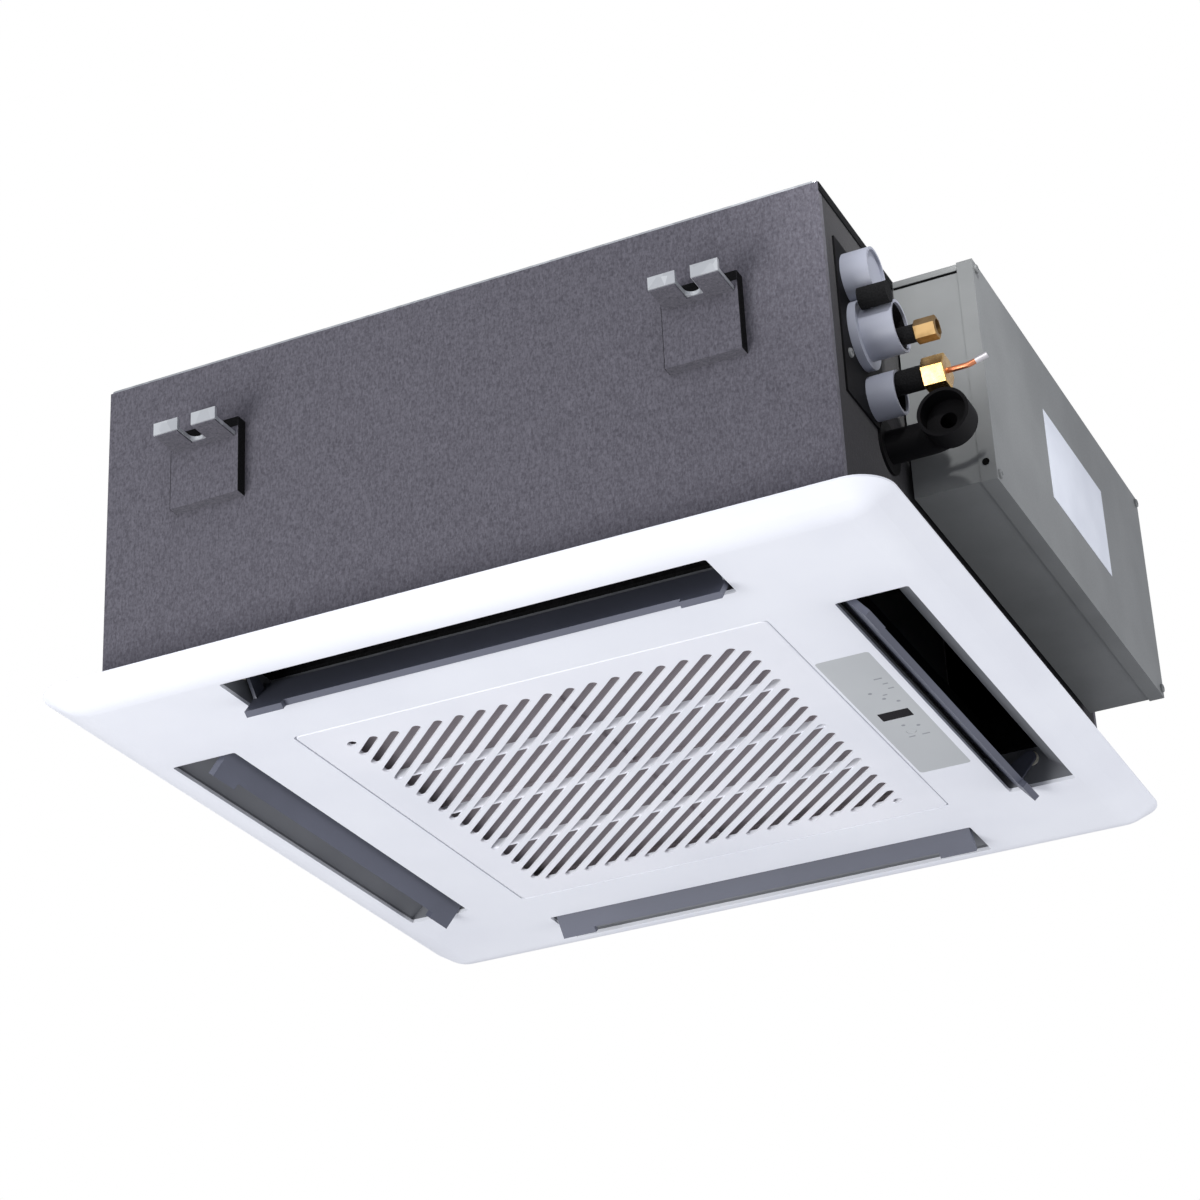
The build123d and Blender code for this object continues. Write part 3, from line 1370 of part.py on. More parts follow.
with BuildPart() as pipe_cover_plate:
    with BuildSketch(face_plane(body_half)):
        with Locations((cover_front, z_bottom + cover_bottom)):
            Rectangle(cover_back - cover_front, cover_top - cover_bottom, align=(Align.MIN, Align.MIN))
        with Locations((liquid_y, z_liquid)):
            Circle(liquid_pipe_radius + pipe_hole_margin, mode=Mode.SUBTRACT)
        with Locations((gas_y, z_gas)):
            Circle(gas_pipe_radius + pipe_hole_margin, mode=Mode.SUBTRACT)
        with Locations((drain_y, z_drain)):
            Circle(drain_flange_radius + seat_gap, mode=Mode.SUBTRACT)
    extrude(amount=cover_thickness)
pipe_cover_plate.part.label = "pipe_cover_plate"
export_step(pipe_cover_plate.part, "parts/pipe_cover_plate.step")

with BuildPart() as pipe_collars:
    collar_base = body_half + cover_thickness
    for collar_y, collar_z, radius, reach in (
            (upper_collar_y, z_upper_collar, collar_radius, upper_collar_reach),
            (liquid_y, z_liquid_collar, collar_radius, liquid_collar_reach),
            (gas_y, z_gas_collar, gas_collar_radius, gas_collar_reach)):
        with BuildSketch(face_plane(collar_base)):
            with Locations((collar_y, collar_z)):
                Circle(radius)
        extrude(amount=reach)
        with BuildSketch(face_plane(collar_base)):
            with Locations((collar_y, collar_z)):
                Circle(radius - collar_wall)
        extrude(amount=reach, mode=Mode.SUBTRACT)
    # the upper collar is blind, the liquid collar has a foot flange
    with BuildSketch(face_plane(collar_base)):
        with Locations((upper_collar_y, z_upper_collar)):
            Circle(collar_radius - collar_wall)
    extrude(amount=upper_collar_reach - collar_cap)
    with BuildSketch(face_plane(collar_base)):
        with Locations((liquid_y, z_liquid_collar)):
            Circle(liquid_flange_radius)
            Circle(collar_radius, mode=Mode.SUBTRACT)
        with Locations((gas_y, z_gas_collar)):
            Circle(gas_collar_radius + seat_gap, mode=Mode.SUBTRACT)
        with Locations((upper_collar_y, z_upper_collar)):
            Circle(collar_radius + seat_gap, mode=Mode.SUBTRACT)
    extrude(amount=liquid_flange)
pipe_collars.part.label = "pipe_collars"
export_step(pipe_collars.part, "parts/pipe_collars.step")

# ---------------------------------------------------------------- electrical box
cover_reach = ebox_depth - ebox_cover_wall
tray_front = ebox_front + ebox_cover_wall
tray_back = ebox_back - ebox_cover_wall
z_tray_bottom = z_ebox_bottom + ebox_cover_wall
z_tray_top = z_ebox_top - ebox_cover_wall

with BuildPart() as ebox_tray:
    with BuildSketch(face_plane(ebox_inner_x)):
        with Locations((ebox_middle_y, ebox_middle_z)):
            Rectangle(tray_back - tray_front, z_tray_top - z_tray_bottom)
    extrude(amount=cover_reach)
    with BuildSketch(face_plane(ebox_inner_x + ebox_wall)):
        with Locations((ebox_middle_y, ebox_middle_z)):
            Rectangle(tray_back - tray_front - 2 * ebox_wall, z_tray_top - z_tray_bottom - 2 * ebox_wall)
    extrude(amount=cover_reach - ebox_wall, mode=Mode.SUBTRACT)
    # feet that pass the felt to the casing
    with BuildSketch(face_plane(casing_half)):
        with Locations((ebox_middle_y, ebox_middle_z)):
            with GridLocations(foot_pitch_y, foot_pitch_z, 2, 2):
                Rectangle(ebox_foot, ebox_foot)
    extrude(amount=ebox_inner_x - casing_half)
    # cable holes in the back end
    with BuildSketch(Plane.XZ.offset(-tray_back)):
        with Locations((ebox_middle_x, ebox_middle_z)):
            with GridLocations(0, grommet_pitch, 1, 2):
                Circle(grommet_radius)
    extrude(amount=2 * ebox_wall, both=True, mode=Mode.SUBTRACT)
ebox_tray.part.label = "ebox_tray"
export_step(ebox_tray.part, "parts/ebox_tray.step")

with BuildPart() as ebox_cover:
    with BuildSketch(face_plane(ebox_outer_x)):
        with Locations((ebox_middle_y, ebox_middle_z)):
            Rectangle(ebox_length, ebox_height)
    extrude(amount=-ebox_lip)
    with BuildSketch(face_plane(ebox_outer_x - ebox_cover_wall)):
        with Locations((ebox_middle_y, ebox_middle_z)):
            Rectangle(tray_back - tray_front, z_tray_top - z_tray_bottom)
    extrude(amount=-ebox_lip, mode=Mode.SUBTRACT)
ebox_cover.part.label = "ebox_cover"
export_step(ebox_cover.part, "parts/ebox_cover.step")

board_x = ebox_inner_x + ebox_wall + control_board_standoff
with BuildPart() as control_board:
    board_y = ebox_middle_y - control_board_length / 4
    with BuildSketch(face_plane(board_x)):
        with Locations((board_y, ebox_middle_z)):
            Rectangle(control_board_length, control_board_height)
    extrude(amount=board_thickness)
    # standoffs and the tall components
    with BuildSketch(face_plane(board_x)):
        with Locations((board_y, ebox_middle_z)):
            with GridLocations(control_board_length - 2 * standoff_margin,
                               control_board_height - 2 * standoff_margin, 2, 2):
                Circle(standoff_radius)
    extrude(amount=-control_board_standoff)
    with BuildSketch(face_plane(board_x + board_thickness)):
        with Locations((board_y, ebox_middle_z)):
            with GridLocations(component_pitch_y, component_pitch_z, 3, 2):
                Rectangle(component_side, component_side)
    extrude(amount=component_height)
    # run capacitor of the fan motor, lying below the other components
    with BuildSketch(face_plane(board_x + board_thickness)):
        with Locations((board_y, ebox_middle_z)):
            Circle(capacitor_radius)
    extrude(amount=capacitor_length)
control_board.part.label = "control_board"
export_step(control_board.part, "parts/control_board.step")

with BuildPart() as terminal_block:
    with BuildSketch(face_plane(ebox_inner_x + ebox_wall)):
        with Locations((tray_back - terminal_length, ebox_middle_z)):
            Rectangle(terminal_length, terminal_height)
    extrude(amount=terminal_depth)
    with BuildSketch(face_plane(ebox_inner_x + ebox_wall + terminal_depth)):
        with Locations((tray_back - terminal_length, ebox_middle_z)):
            with GridLocations(terminal_screw_pitch, terminal_row_pitch, 4, 2):
                Circle(small_head_radius)
    extrude(amount=-small_head_height, mode=Mode.SUBTRACT)
terminal_block.part.label = "terminal_block"
export_step(terminal_block.part, "parts/terminal_block.step")

with BuildPart() as cable_grommets:
    # each grommet grips the wall between two flanges
    for start, length, radius in (
            (tray_back - ebox_wall - grommet_flange, grommet_flange, grommet_flange_radius),
            (tray_back - ebox_wall, ebox_wall, grommet_radius),
            (tray_back, grommet_flange, grommet_flange_radius)):
        with BuildSketch(Plane.XZ.offset(-start)):
            with Locations((ebox_middle_x, ebox_middle_z)):
                with GridLocations(0, grommet_pitch, 1, 2):
                    Circle(radius)
                    Circle(grommet_bore, mode=Mode.SUBTRACT)
        extrude(amount=-length)
cable_grommets.part.label = "cable_grommets"
export_step(cable_grommets.part, "parts/cable_grommets.step")
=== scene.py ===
# %% [markdown]
# # Ceiling cassette air conditioner
# A square white panel hangs below a felt-covered steel body. The CAD model is the frame: it says where
# every piece sits, in metres, with the middle of the four hanger slots at the origin and +Z up into the
# ceiling. This file gives the CAD pieces their finishes and adds the small pieces that only the eye needs.

# %% Load the frame
import json
import math
import bpy
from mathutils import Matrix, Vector


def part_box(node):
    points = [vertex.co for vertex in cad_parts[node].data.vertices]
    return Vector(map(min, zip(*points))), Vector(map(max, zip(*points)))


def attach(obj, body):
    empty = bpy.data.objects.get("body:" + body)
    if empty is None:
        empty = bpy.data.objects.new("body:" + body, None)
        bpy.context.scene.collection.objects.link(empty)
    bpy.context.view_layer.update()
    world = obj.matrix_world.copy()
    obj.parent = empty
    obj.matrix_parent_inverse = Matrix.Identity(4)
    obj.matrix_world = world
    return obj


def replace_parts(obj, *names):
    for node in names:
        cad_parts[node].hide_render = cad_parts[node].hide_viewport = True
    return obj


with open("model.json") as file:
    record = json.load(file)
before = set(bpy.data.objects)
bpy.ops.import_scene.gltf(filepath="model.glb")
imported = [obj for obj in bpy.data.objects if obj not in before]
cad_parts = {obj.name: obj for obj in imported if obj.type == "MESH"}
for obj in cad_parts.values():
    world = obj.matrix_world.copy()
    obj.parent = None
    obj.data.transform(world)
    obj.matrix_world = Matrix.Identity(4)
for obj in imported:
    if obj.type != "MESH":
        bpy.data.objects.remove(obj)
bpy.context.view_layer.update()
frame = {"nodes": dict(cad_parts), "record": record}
mounts = {mount["name"]: mount for mount in frame["record"]["mounts"]}

# %% [markdown]
# ## Camera
# The photograph looks up at the unit from below and from the right of its front. Its place, its turn and
# its lens come from fitting the panel's and the body's corners to the CAD sizes, so no shift is needed.

# %% Camera
camera_place = (0.8553, -1.9647, -1.1399)    # metres
camera_turn = (117.0433, 2.5915, 25.3396)    # degrees
camera_lens = 92.508                         # millimetres, for a sensor 36 mm wide

bpy.ops.object.camera_add(location=camera_place, rotation=[math.radians(turn) for turn in camera_turn])
camera = bpy.context.object
camera.data.lens = camera_lens
camera.data.sensor_width = 36
camera.data.clip_start = 0.1
bpy.context.scene.camera = camera
bpy.context.scene.view_settings.view_transform = "Standard"
print("camera at", [round(place, 3) for place in camera.location])

# %% [markdown]
# ## Materials toolbox
# Colours are picked as sRGB hex codes, but shaders count in linear light, so one function converts them.
# Another one adds a node with its settings, its values and its links. A third starts a material and returns
# its shader, with the object coordinates: these stay with the piece when it moves, so no pattern slides.

# %% Helpers for materials
def linear(code):
    """Linear colour with alpha of an sRGB hex code."""
    parts = [int(code[i:i + 2], 16) / 255 for i in (1, 3, 5)]
    return [p / 12.92 if p <= 0.04045 else ((p + 0.055) / 1.055) ** 2.4 for p in parts] + [1]


def add_node(tree, kind, values=None, links=None, **settings):
    """Adds a node: settings are its own fields, values fill its sockets and links come from other nodes."""
    node = tree.nodes.new(kind)
    for field, setting in settings.items():
        setattr(node, field, setting)
    for socket, value in (values or {}).items():
        node.inputs[socket].default_value = value
    for socket, source in (links or {}).items():
        tree.links.new(source, node.inputs[socket])
    return node


def start_material(name, **values):
    """A new material with its Principled shader set, and the object coordinates for its patterns."""
    material = bpy.data.materials.new(name)
    material.use_nodes = True
    tree = material.node_tree
    shader = tree.nodes["Principled BSDF"]
    for socket, value in values.items():
        shader.inputs[socket.replace("_", " ")].default_value = value
    place = add_node(tree, "ShaderNodeTexCoord").outputs["Object"]
    return material, tree, shader, place


print("a material can be started")

# %% [markdown]
# ### Patterns
# A finish here is one or two patterns, each of which can drive the tone, the gloss and the relief. They are
# sized in millimetres, as they would be measured on the real surface, and a noise's scale is the number of
# its lumps in a metre.

# %% Helpers for patterns
def lumps(size_mm):
    """Scale of a pattern whose lumps are this many millimetres wide."""
    return 1000 / size_mm


def colour_in_tones(tree, shader, factor, low, high, low_at=0.35, high_at=0.65):
    """Colours the shader with a ramp that turns a pattern into two tones of one colour."""
    ramp = add_node(tree, "ShaderNodeValToRGB", links={"Fac": factor})
    first, last = ramp.color_ramp.elements
    first.position, first.color = low_at, linear(low)
    last.position, last.color = high_at, linear(high)
    tree.links.new(ramp.outputs["Color"], shader.inputs["Base Color"])


def add_bump(tree, shader, height, strength, depth_mm):
    """Bump of a pattern, as deep as the real relief."""
    bump = add_node(tree, "ShaderNodeBump", {"Strength": strength, "Distance": depth_mm / 1000},
                    {"Height": height})
    tree.links.new(bump.outputs["Normal"], shader.inputs["Normal"])


def vary_roughness(tree, shader, factor, low, high):
    """Roughness that follows a pattern between two values."""
    spread = add_node(tree, "ShaderNodeMapRange", {"To Min": low, "To Max": high}, {"Value": factor})
    tree.links.new(spread.outputs["Result"], shader.inputs["Roughness"])


print("patterns can be used")

# %% [markdown]
# ## Moulded plastics
# The panel, the grille, the louvers, the liners and the receiver plate are injection-moulded ABS. Its
# surface copies the spark-eroded mould: a fine grain of about half a millimetre, drawn here at twice that
# so that it shows, with a satin gloss. A slow drift of tone over a hand's width keeps a large face from
# looking like paint. One function makes all of them, because only colour, gloss and grain differ.

# %% Moulded plastic
def moulded_plastic(name, pale, deep, roughness, grain_mm=1.0, grain_depth_mm=0.02, specular=0.5):
    """Plastic or rubber from a mould, that drifts between two tones and has a fine grain."""
    material, tree, shader, place = start_material(name, Specular_IOR_Level=specular, IOR=1.53)
    drift = add_node(tree, "ShaderNodeTexNoise", {"Scale": lumps(140), "Detail": 3.0}, {"Vector": place})
    grain = add_node(tree, "ShaderNodeTexNoise", {"Scale": lumps(grain_mm), "Detail": 2.0},
                     {"Vector": place})
    colour_in_tones(tree, shader, drift.outputs["Fac"], deep, pale)
    vary_roughness(tree, shader, grain.outputs["Fac"], roughness - 0.06, roughness + 0.06)
    add_bump(tree, shader, grain.outputs["Fac"], 0.5, grain_depth_mm)
    return material


print("moulded plastics can be made")

# %% [markdown]
# ### The plastics of the panel
# The panel is a cool white and the grille a hair darker. The blades are blue-grey, and the channels behind
# them a warmer grey that loses itself in their shadow.

# %% Plastics of the panel
panel_abs = moulded_plastic("moulded_abs_cool_white", "#eef0f6", "#e8eaf1", 0.42)
grille_abs = moulded_plastic("moulded_abs_grille_white", "#eff0f6", "#e6e8ef", 0.46)
louver_abs = moulded_plastic("moulded_abs_blue_grey", "#5b5e6c", "#525562", 0.42)
liner_abs = moulded_plastic("moulded_abs_liner_grey", "#7b7d82", "#6f7176", 0.6)
receiver_abs = moulded_plastic("moulded_abs_receiver_grey", "#c1c4c5", "#b8bbbd", 0.4, grain_mm=0.8)
icon_ink = moulded_plastic("grey_screen_ink", "#9c9fa4", "#8d9095", 0.6)
print("panel plastics:", panel_abs.name, louver_abs.name, receiver_abs.name)

# %% [markdown]
# ### The plastics of the body
# Pump, housings and pipe cover are black and nearly matt. The fan is a dark grey, the collars of the pipes
# a paler one. Bushes and plungers are left in the cream of raw nylon. Rubber swallows nearly all light.

# %% Plastics of the body
black_abs = moulded_plastic("moulded_black_plastic", "#0b0a0c", "#070608", 0.65, specular=0.12)
fan_abs = moulded_plastic("moulded_fan_grey", "#3d3e42", "#333438", 0.5)
collar_abs = moulded_plastic("moulded_collar_grey", "#9da0ac", "#9093a0", 0.44)
nylon = moulded_plastic("natural_nylon", "#e9e4d6", "#ddd7c6", 0.5, grain_mm=1.6)
rubber = moulded_plastic("black_rubber", "#080808", "#040404", 0.85, grain_mm=1.4, grain_depth_mm=0.03,
                         specular=0.05)
print("body plastics:", black_abs.name, fan_abs.name, collar_abs.name, nylon.name, rubber.name)

# %% [markdown]
# ## Smoked window
# The display hides behind smoked acrylic: almost black, slightly violet, polished, with faint wipe marks
# that only show where light glances off it. Clear acrylic over a dark back would look the same, but
# noisier.

# %% Smoked acrylic
smoked_acrylic, tree, shader, place = start_material("smoked_acrylic", IOR=1.49, Specular_IOR_Level=0.1)
wipes = add_node(tree, "ShaderNodeTexNoise", {"Scale": lumps(9), "Detail": 4.0}, {"Vector": place})
colour_in_tones(tree, shader, wipes.outputs["Fac"], "#090509", "#0e080e")
vary_roughness(tree, shader, wipes.outputs["Fac"], 0.08, 0.2)
print("window:", smoked_acrylic.name)

# %% [markdown]
# ## Needle-punched felt
# The body is wrapped in a felt of recycled fibres against sweating and noise. Close by it is a mix of dark
# and pale fibres in lumps of two or three millimetres, quite matt, with a light fuzz that catches glancing
# light. Real hairs would be far too many for so large a face, so two noises are mixed: one for the lumps,
# one stretched for single fibres. The right side is a darker copy of the felt, with the shade on that side
# painted in.

# %% Felt
def punched_felt(name, dark, pale):
    """Felt of dark and pale fibres, half a millimetre deep, with the sheen of its fuzz."""
    material, tree, shader, place = start_material(name, Roughness=0.95, Specular_IOR_Level=0.15,
                                                   Sheen_Weight=0.12, Sheen_Roughness=0.6)
    clumps = add_node(tree, "ShaderNodeTexNoise", {"Scale": lumps(2.4), "Detail": 5.0, "Roughness": 0.65},
                      {"Vector": place})
    stretch = add_node(tree, "ShaderNodeMapping", {"Scale": (1.0, 1.0, 0.35)}, {"Vector": place})
    fibres = add_node(tree, "ShaderNodeTexNoise", {"Scale": lumps(1.4), "Detail": 4.0, "Distortion": 0.8},
                      {"Vector": stretch.outputs["Vector"]})
    mixed = add_node(tree, "ShaderNodeMath", links={0: clumps.outputs["Fac"], 1: fibres.outputs["Fac"]},
                     operation="ADD")
    half = add_node(tree, "ShaderNodeMath", {1: 0.5}, {0: mixed.outputs["Value"]}, operation="MULTIPLY")
    colour_in_tones(tree, shader, half.outputs["Value"], dark, pale, 0.36, 0.64)
    add_bump(tree, shader, half.outputs["Value"], 0.7, 0.5)
    return material


body_felt = punched_felt("needle_felt_grey", "#47454d", "#68666f")
# A darker copy of the felt: the shade on the side of the pipes is painted into its colour.
shaded_side_felt = punched_felt("needle_felt_painted_shade", "#131114", "#222024")
print("felts:", body_felt.name, shaded_side_felt.name)

# %% [markdown]
# ## Galvanised steel
# Hot-dip zinc grows crystals, the spangle, a centimetre or so wide. A picture of it would have to be tiled,
# so Voronoi cells are used, which never repeat and differ a little in tone and gloss. The brackets are of
# newer zinc, which has the same spangle but mirrors less.

# %% Galvanised steel
galvanised, tree, shader, place = start_material("galvanised_steel_spangle", Metallic=0.85)
spangle = add_node(tree, "ShaderNodeTexVoronoi", {"Scale": lumps(11)}, {"Vector": place})
tone = add_node(tree, "ShaderNodeSeparateColor", links={"Color": spangle.outputs["Color"]})
colour_in_tones(tree, shader, tone.outputs["Red"], "#b4b7bb", "#ced1d4", 0.0, 1.0)
vary_roughness(tree, shader, tone.outputs["Green"], 0.34, 0.5)
add_bump(tree, shader, spangle.outputs["Distance"], 0.25, 0.03)
new_zinc = galvanised.copy()
new_zinc.name = "new_galvanised_steel"
new_zinc.node_tree.nodes["Principled BSDF"].inputs["Metallic"].default_value = 0.4
print("zinc:", galvanised.name, new_zinc.name)

# %% [markdown]
# ## Machined metals
# Shafts and the panel's screws are bright zinc with fine turning marks. Brass nuts are turned and polished,
# and copper pipe is drawn, with a little brown where it has been touched. One function serves all of them:
# a wave for the marks of the tool and a slow noise for the tarnish.

# %% Machined metals
def ridges(spacing_mm):
    """Scale of a wave whose ridges are this far apart: at scale 1 they are 314 mm apart."""
    return 314 / spacing_mm


def machined_metal(name, bright, tarnished, roughness, marks_mm):
    """Turned or drawn metal with fine tool marks, stained here and there."""
    material, tree, shader, place = start_material(name, Metallic=1.0)
    stain = add_node(tree, "ShaderNodeTexNoise", {"Scale": lumps(14), "Detail": 5.0}, {"Vector": place})
    marks = add_node(tree, "ShaderNodeTexWave", {"Scale": ridges(marks_mm), "Distortion": 1.5},
                     {"Vector": place})
    colour_in_tones(tree, shader, stain.outputs["Fac"], tarnished, bright, 0.3, 0.55)
    vary_roughness(tree, shader, stain.outputs["Fac"], roughness + 0.1, roughness - 0.05)
    add_bump(tree, shader, marks.outputs["Fac"], 0.12, 0.02)
    return material


bright_zinc = machined_metal("bright_zinc_steel", "#d3d4d3", "#b3b1ab", 0.28, 0.4)
brass = machined_metal("turned_brass", "#efc987", "#c89a55", 0.24, 0.5)
dull_brass = machined_metal("dull_brass", "#9c8159", "#785e39", 0.45, 0.5)
copper = machined_metal("drawn_copper", "#e2936c", "#b86a49", 0.3, 0.6)
solder = machined_metal("tinned_solder", "#e8e4e6", "#c9b6b4", 0.35, 0.7)
print("metals:", bright_zinc.name, brass.name, copper.name)

# %% [markdown]
# ## Powder-coated steel
# The box of the electrics and the fan's motor are painted steel, with the faint orange peel of a powder
# coat: small soft lumps in gloss and height. The bare label is a matt film with the same slight unevenness.

# %% Powder-coated steel
def powder_coat(name, pale, deep, roughness):
    """Baked paint with orange peel, that drifts a little between two tones."""
    material, tree, shader, place = start_material(name, Specular_IOR_Level=0.4, IOR=1.5)
    peel = add_node(tree, "ShaderNodeTexNoise", {"Scale": lumps(1.8), "Detail": 2.0}, {"Vector": place})
    cloud = add_node(tree, "ShaderNodeTexNoise", {"Scale": lumps(70), "Detail": 4.0}, {"Vector": place})
    colour_in_tones(tree, shader, cloud.outputs["Fac"], deep, pale)
    vary_roughness(tree, shader, peel.outputs["Fac"], roughness - 0.07, roughness + 0.07)
    add_bump(tree, shader, peel.outputs["Fac"], 0.4, 0.03)
    return material


box_paint = powder_coat("powder_coated_box_grey", "#7c7e7e", "#737575", 0.45)
motor_paint = powder_coat("powder_coated_motor_black", "#26262a", "#1d1d20", 0.45)
label_film = powder_coat("matt_label_film", "#dde1ea", "#d0d4de", 0.55)
print("paints:", box_paint.name, motor_paint.name, label_film.name)

# %% [markdown]
# ## Coil fins
# The heat exchanger is a stack of aluminium fins 1.4 mm apart with tubes through them. The block is solid
# in the CAD model, so the fins are drawn: pale edges with painted shade in the gaps between them. They are a
# little coarser than real, 2 mm, or they would blur away. The coil runs round all four sides, so a wave
# along
# X is crossed with one along Y.

# %% Aluminium fins
def crossed_waves(tree, place, spacing_mm, operation):
    """Two waves, along X and along Y, put together by this operation."""
    waves = []
    for direction in ("X", "Y"):
        wave = add_node(tree, "ShaderNodeTexWave", {"Scale": ridges(spacing_mm)}, {"Vector": place},
                        bands_direction=direction)
        waves.append(wave.outputs["Fac"])
    crossed = add_node(tree, "ShaderNodeMath", links={0: waves[0], 1: waves[1]}, operation=operation)
    return crossed.outputs["Value"]


fins, tree, shader, place = start_material("aluminium_fins", Metallic=0.8, Roughness=0.45)
fins_and_gap_shade = crossed_waves(tree, place, 2, "MULTIPLY")
# The darker tone is painted shade in the gaps between the fins.
colour_in_tones(tree, shader, fins_and_gap_shade, "#6d7073", "#d2d5d8", 0.1, 0.5)
add_bump(tree, shader, fins_and_gap_shade, 0.8, 0.6)
print("fins:", fins.name)

# %% [markdown]
# ## Foams
# Bead foam shows its beads as cells of four millimetres. The air duct and the pan are the graphite grade,
# which is why the outlets look black, and the float that watches the pan's level is the pale one. The seals
# are open black foam, with pores of about a millimetre. Beads could be modelled, but they are only glimpsed
# through the slots, so cells in tone and relief are enough.

# %% Foams
def beads_of_foam(name, crown, seam):
    """Foam moulded from 4 mm beads, in the tones of a bead's crown and of the seams between the beads."""
    material, tree, shader, place = start_material(name, Roughness=0.9, Specular_IOR_Level=0.1)
    beads = add_node(tree, "ShaderNodeTexVoronoi", {"Scale": lumps(4)}, {"Vector": place})
    colour_in_tones(tree, shader, beads.outputs["Distance"], crown, seam, 0.3, 0.75)
    add_bump(tree, shader, beads.outputs["Distance"], 0.6, -0.4)
    return material


bead_foam = beads_of_foam("graphite_bead_foam", "#101012", "#060607")
float_foam = beads_of_foam("pale_bead_foam", "#e9e7df", "#cfccc2")

seal_foam, tree, shader, place = start_material("black_seal_foam", Roughness=0.95, Specular_IOR_Level=0.2)
pores = add_node(tree, "ShaderNodeTexVoronoi", {"Scale": lumps(1.2)}, {"Vector": place})
colour_in_tones(tree, shader, pores.outputs["Distance"], "#070708", "#151516", 0.1, 0.6)
add_bump(tree, shader, pores.outputs["Distance"], 0.8, 0.5)
print("foams:", bead_foam.name, float_foam.name, seal_foam.name)

# %% [markdown]
# ## Filter net
# The filter is a net of thin grey threads in a frame of the same grey. Thousands of real threads would be
# too heavy, so the weave is drawn, as two waves 1.5 mm apart of which the higher one shows.

# %% Filter weave
filter_weave, tree, shader, place = start_material("woven_filter_net", Roughness=0.7)
threads = crossed_waves(tree, place, 1.5, "MAXIMUM")
colour_in_tones(tree, shader, threads, "#8a8286", "#a49ca0", 0.4, 0.9)
add_bump(tree, shader, threads, 0.6, 0.3)
print("net:", filter_weave.name)

# %% [markdown]
# ## Circuit boards
# Green lacquer lies over copper tracks, which shine through it paler. The boards are hardly seen, so a
# brick pattern stands for the tracks: wide bricks of two greens with thin paler joints.

# %% Circuit board
board_green, tree, shader, place = start_material("circuit_board_lacquer", Coat_Weight=0.4, IOR=1.5)
tracks = add_node(tree, "ShaderNodeTexBrick", {"Scale": lumps(30), "Mortar Size": 0.03,
                                               "Color1": linear("#1d5a34"), "Color2": linear("#236b3d"),
                                               "Mortar": linear("#3f8a52")}, {"Vector": place})
tree.links.new(tracks.outputs["Color"], shader.inputs["Base Color"])
vary_roughness(tree, shader, tracks.outputs["Fac"], 0.3, 0.45)
print("board:", board_green.name)

# %% [markdown]
# ## Finishes on the CAD pieces
# The record names a material slot for every node, so the finishes are listed by slot. There are exceptions:
# the felt on the side of the pipes is a darker copy with painted shade, the photograph shows a duller upper
# nut and pale new zinc on the brackets, and the fan and its intake ring are a dark grey that can be told
# from the black foam round them.

# %% Finishes
finishes = {
    "panel_white": panel_abs, "grille_white": grille_abs, "louver_grey": louver_abs, "liner_grey": liner_abs,
    "receiver_grey": receiver_abs, "display_dark": smoked_acrylic, "natural_nylon": nylon,
    "black_plastic": black_abs, "circuit_board": board_green, "black_foam": seal_foam,
    "graphite_foam": bead_foam, "white_foam": float_foam, "galvanised_steel": galvanised,
    "bright_steel": bright_zinc, "grey_felt": body_felt, "filter_mesh": filter_weave, "fin_aluminium": fins,
    "copper": copper, "brass": brass, "collar_grey": collar_abs, "motor_black": motor_paint,
    "ebox_grey": box_paint, "black_rubber": rubber,
}
exceptions = {
    "jacket_right": shaded_side_felt, "liquid_nut": dull_brass, "hanger_brackets": new_zinc, "fan_wheel": fan_abs,
    "bellmouth": fan_abs,
}
for part in frame["record"]["subparts"]:
    finish = exceptions.get(part["node"], finishes[part["material_slot"]])
    for slot in frame["nodes"][part["node"]].material_slots:
        slot.material = finish

# %% [markdown]
# ## Small pieces
# The eye needs a few pieces that the frame leaves out: marks beside the display, a bare label, felt under
# the bracket arms, black linings in the pipe collars and crosses in the screw heads. Each one starts as a
# primitive, in millimetres, at a place that is worked out from the CAD piece beside it where that is
# possible.

# %% Helpers for pieces
def use_only(piece):
    """Makes this the one selected and active object."""
    bpy.ops.object.select_all(action="DESELECT")
    piece.select_set(True)
    bpy.context.view_layer.objects.active = piece


def metres(place):
    """A place in millimetres as Blender's metres."""
    return [value / 1000 for value in place]


def box_mm(node):
    """The low and the high corner of a CAD piece's box, in millimetres."""
    return [Vector(corner) * 1000 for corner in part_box(node)]


def add_block(low, high, edge=0.0):
    """A block between two corners, with its edges rounded when an edge size is given."""
    bpy.ops.mesh.primitive_cube_add(size=1, location=metres([(a + b) / 2 for a, b in zip(low, high)]),
                                    scale=metres([b - a for a, b in zip(low, high)]))
    bpy.ops.object.transform_apply(location=False, rotation=False, scale=True)
    if edge:
        bpy.ops.object.mode_set(mode="EDIT")
        bpy.ops.mesh.select_all(action="SELECT")
        bpy.ops.mesh.bevel(offset=edge / 1000, segments=2, affect="EDGES")
        bpy.ops.object.mode_set(mode="OBJECT")
    return bpy.context.object


def turn_towards(facing):
    """The turn that points a piece's own Z axis this way."""
    return Vector(facing).to_track_quat("Z", "Y").to_euler()


def add_disc(middle, radius, length, facing):
    """A round bar along this direction."""
    bpy.ops.mesh.primitive_cylinder_add(vertices=48, radius=radius / 1000, depth=length / 1000,
                                        location=metres(middle), rotation=turn_towards(facing))
    return bpy.context.object


print("primitives ready")

# %% [markdown]
# ### From pieces to a finished one
# The export puts every object at the origin before it bakes, so a finished piece keeps its place in its
# mesh: its parts are joined and their places applied. Then it gets its name, its finish and the body that
# it rides on.

# %% Helpers that finish a piece
def join(pieces):
    """Joins the pieces into one object, unturned and with its origin at the frame's."""
    use_only(pieces[0])
    for piece in pieces[1:]:
        piece.select_set(True)
    if len(pieces) > 1:
        bpy.ops.object.join()
    bpy.ops.object.transform_apply(location=True, rotation=True, scale=True)
    return bpy.context.object


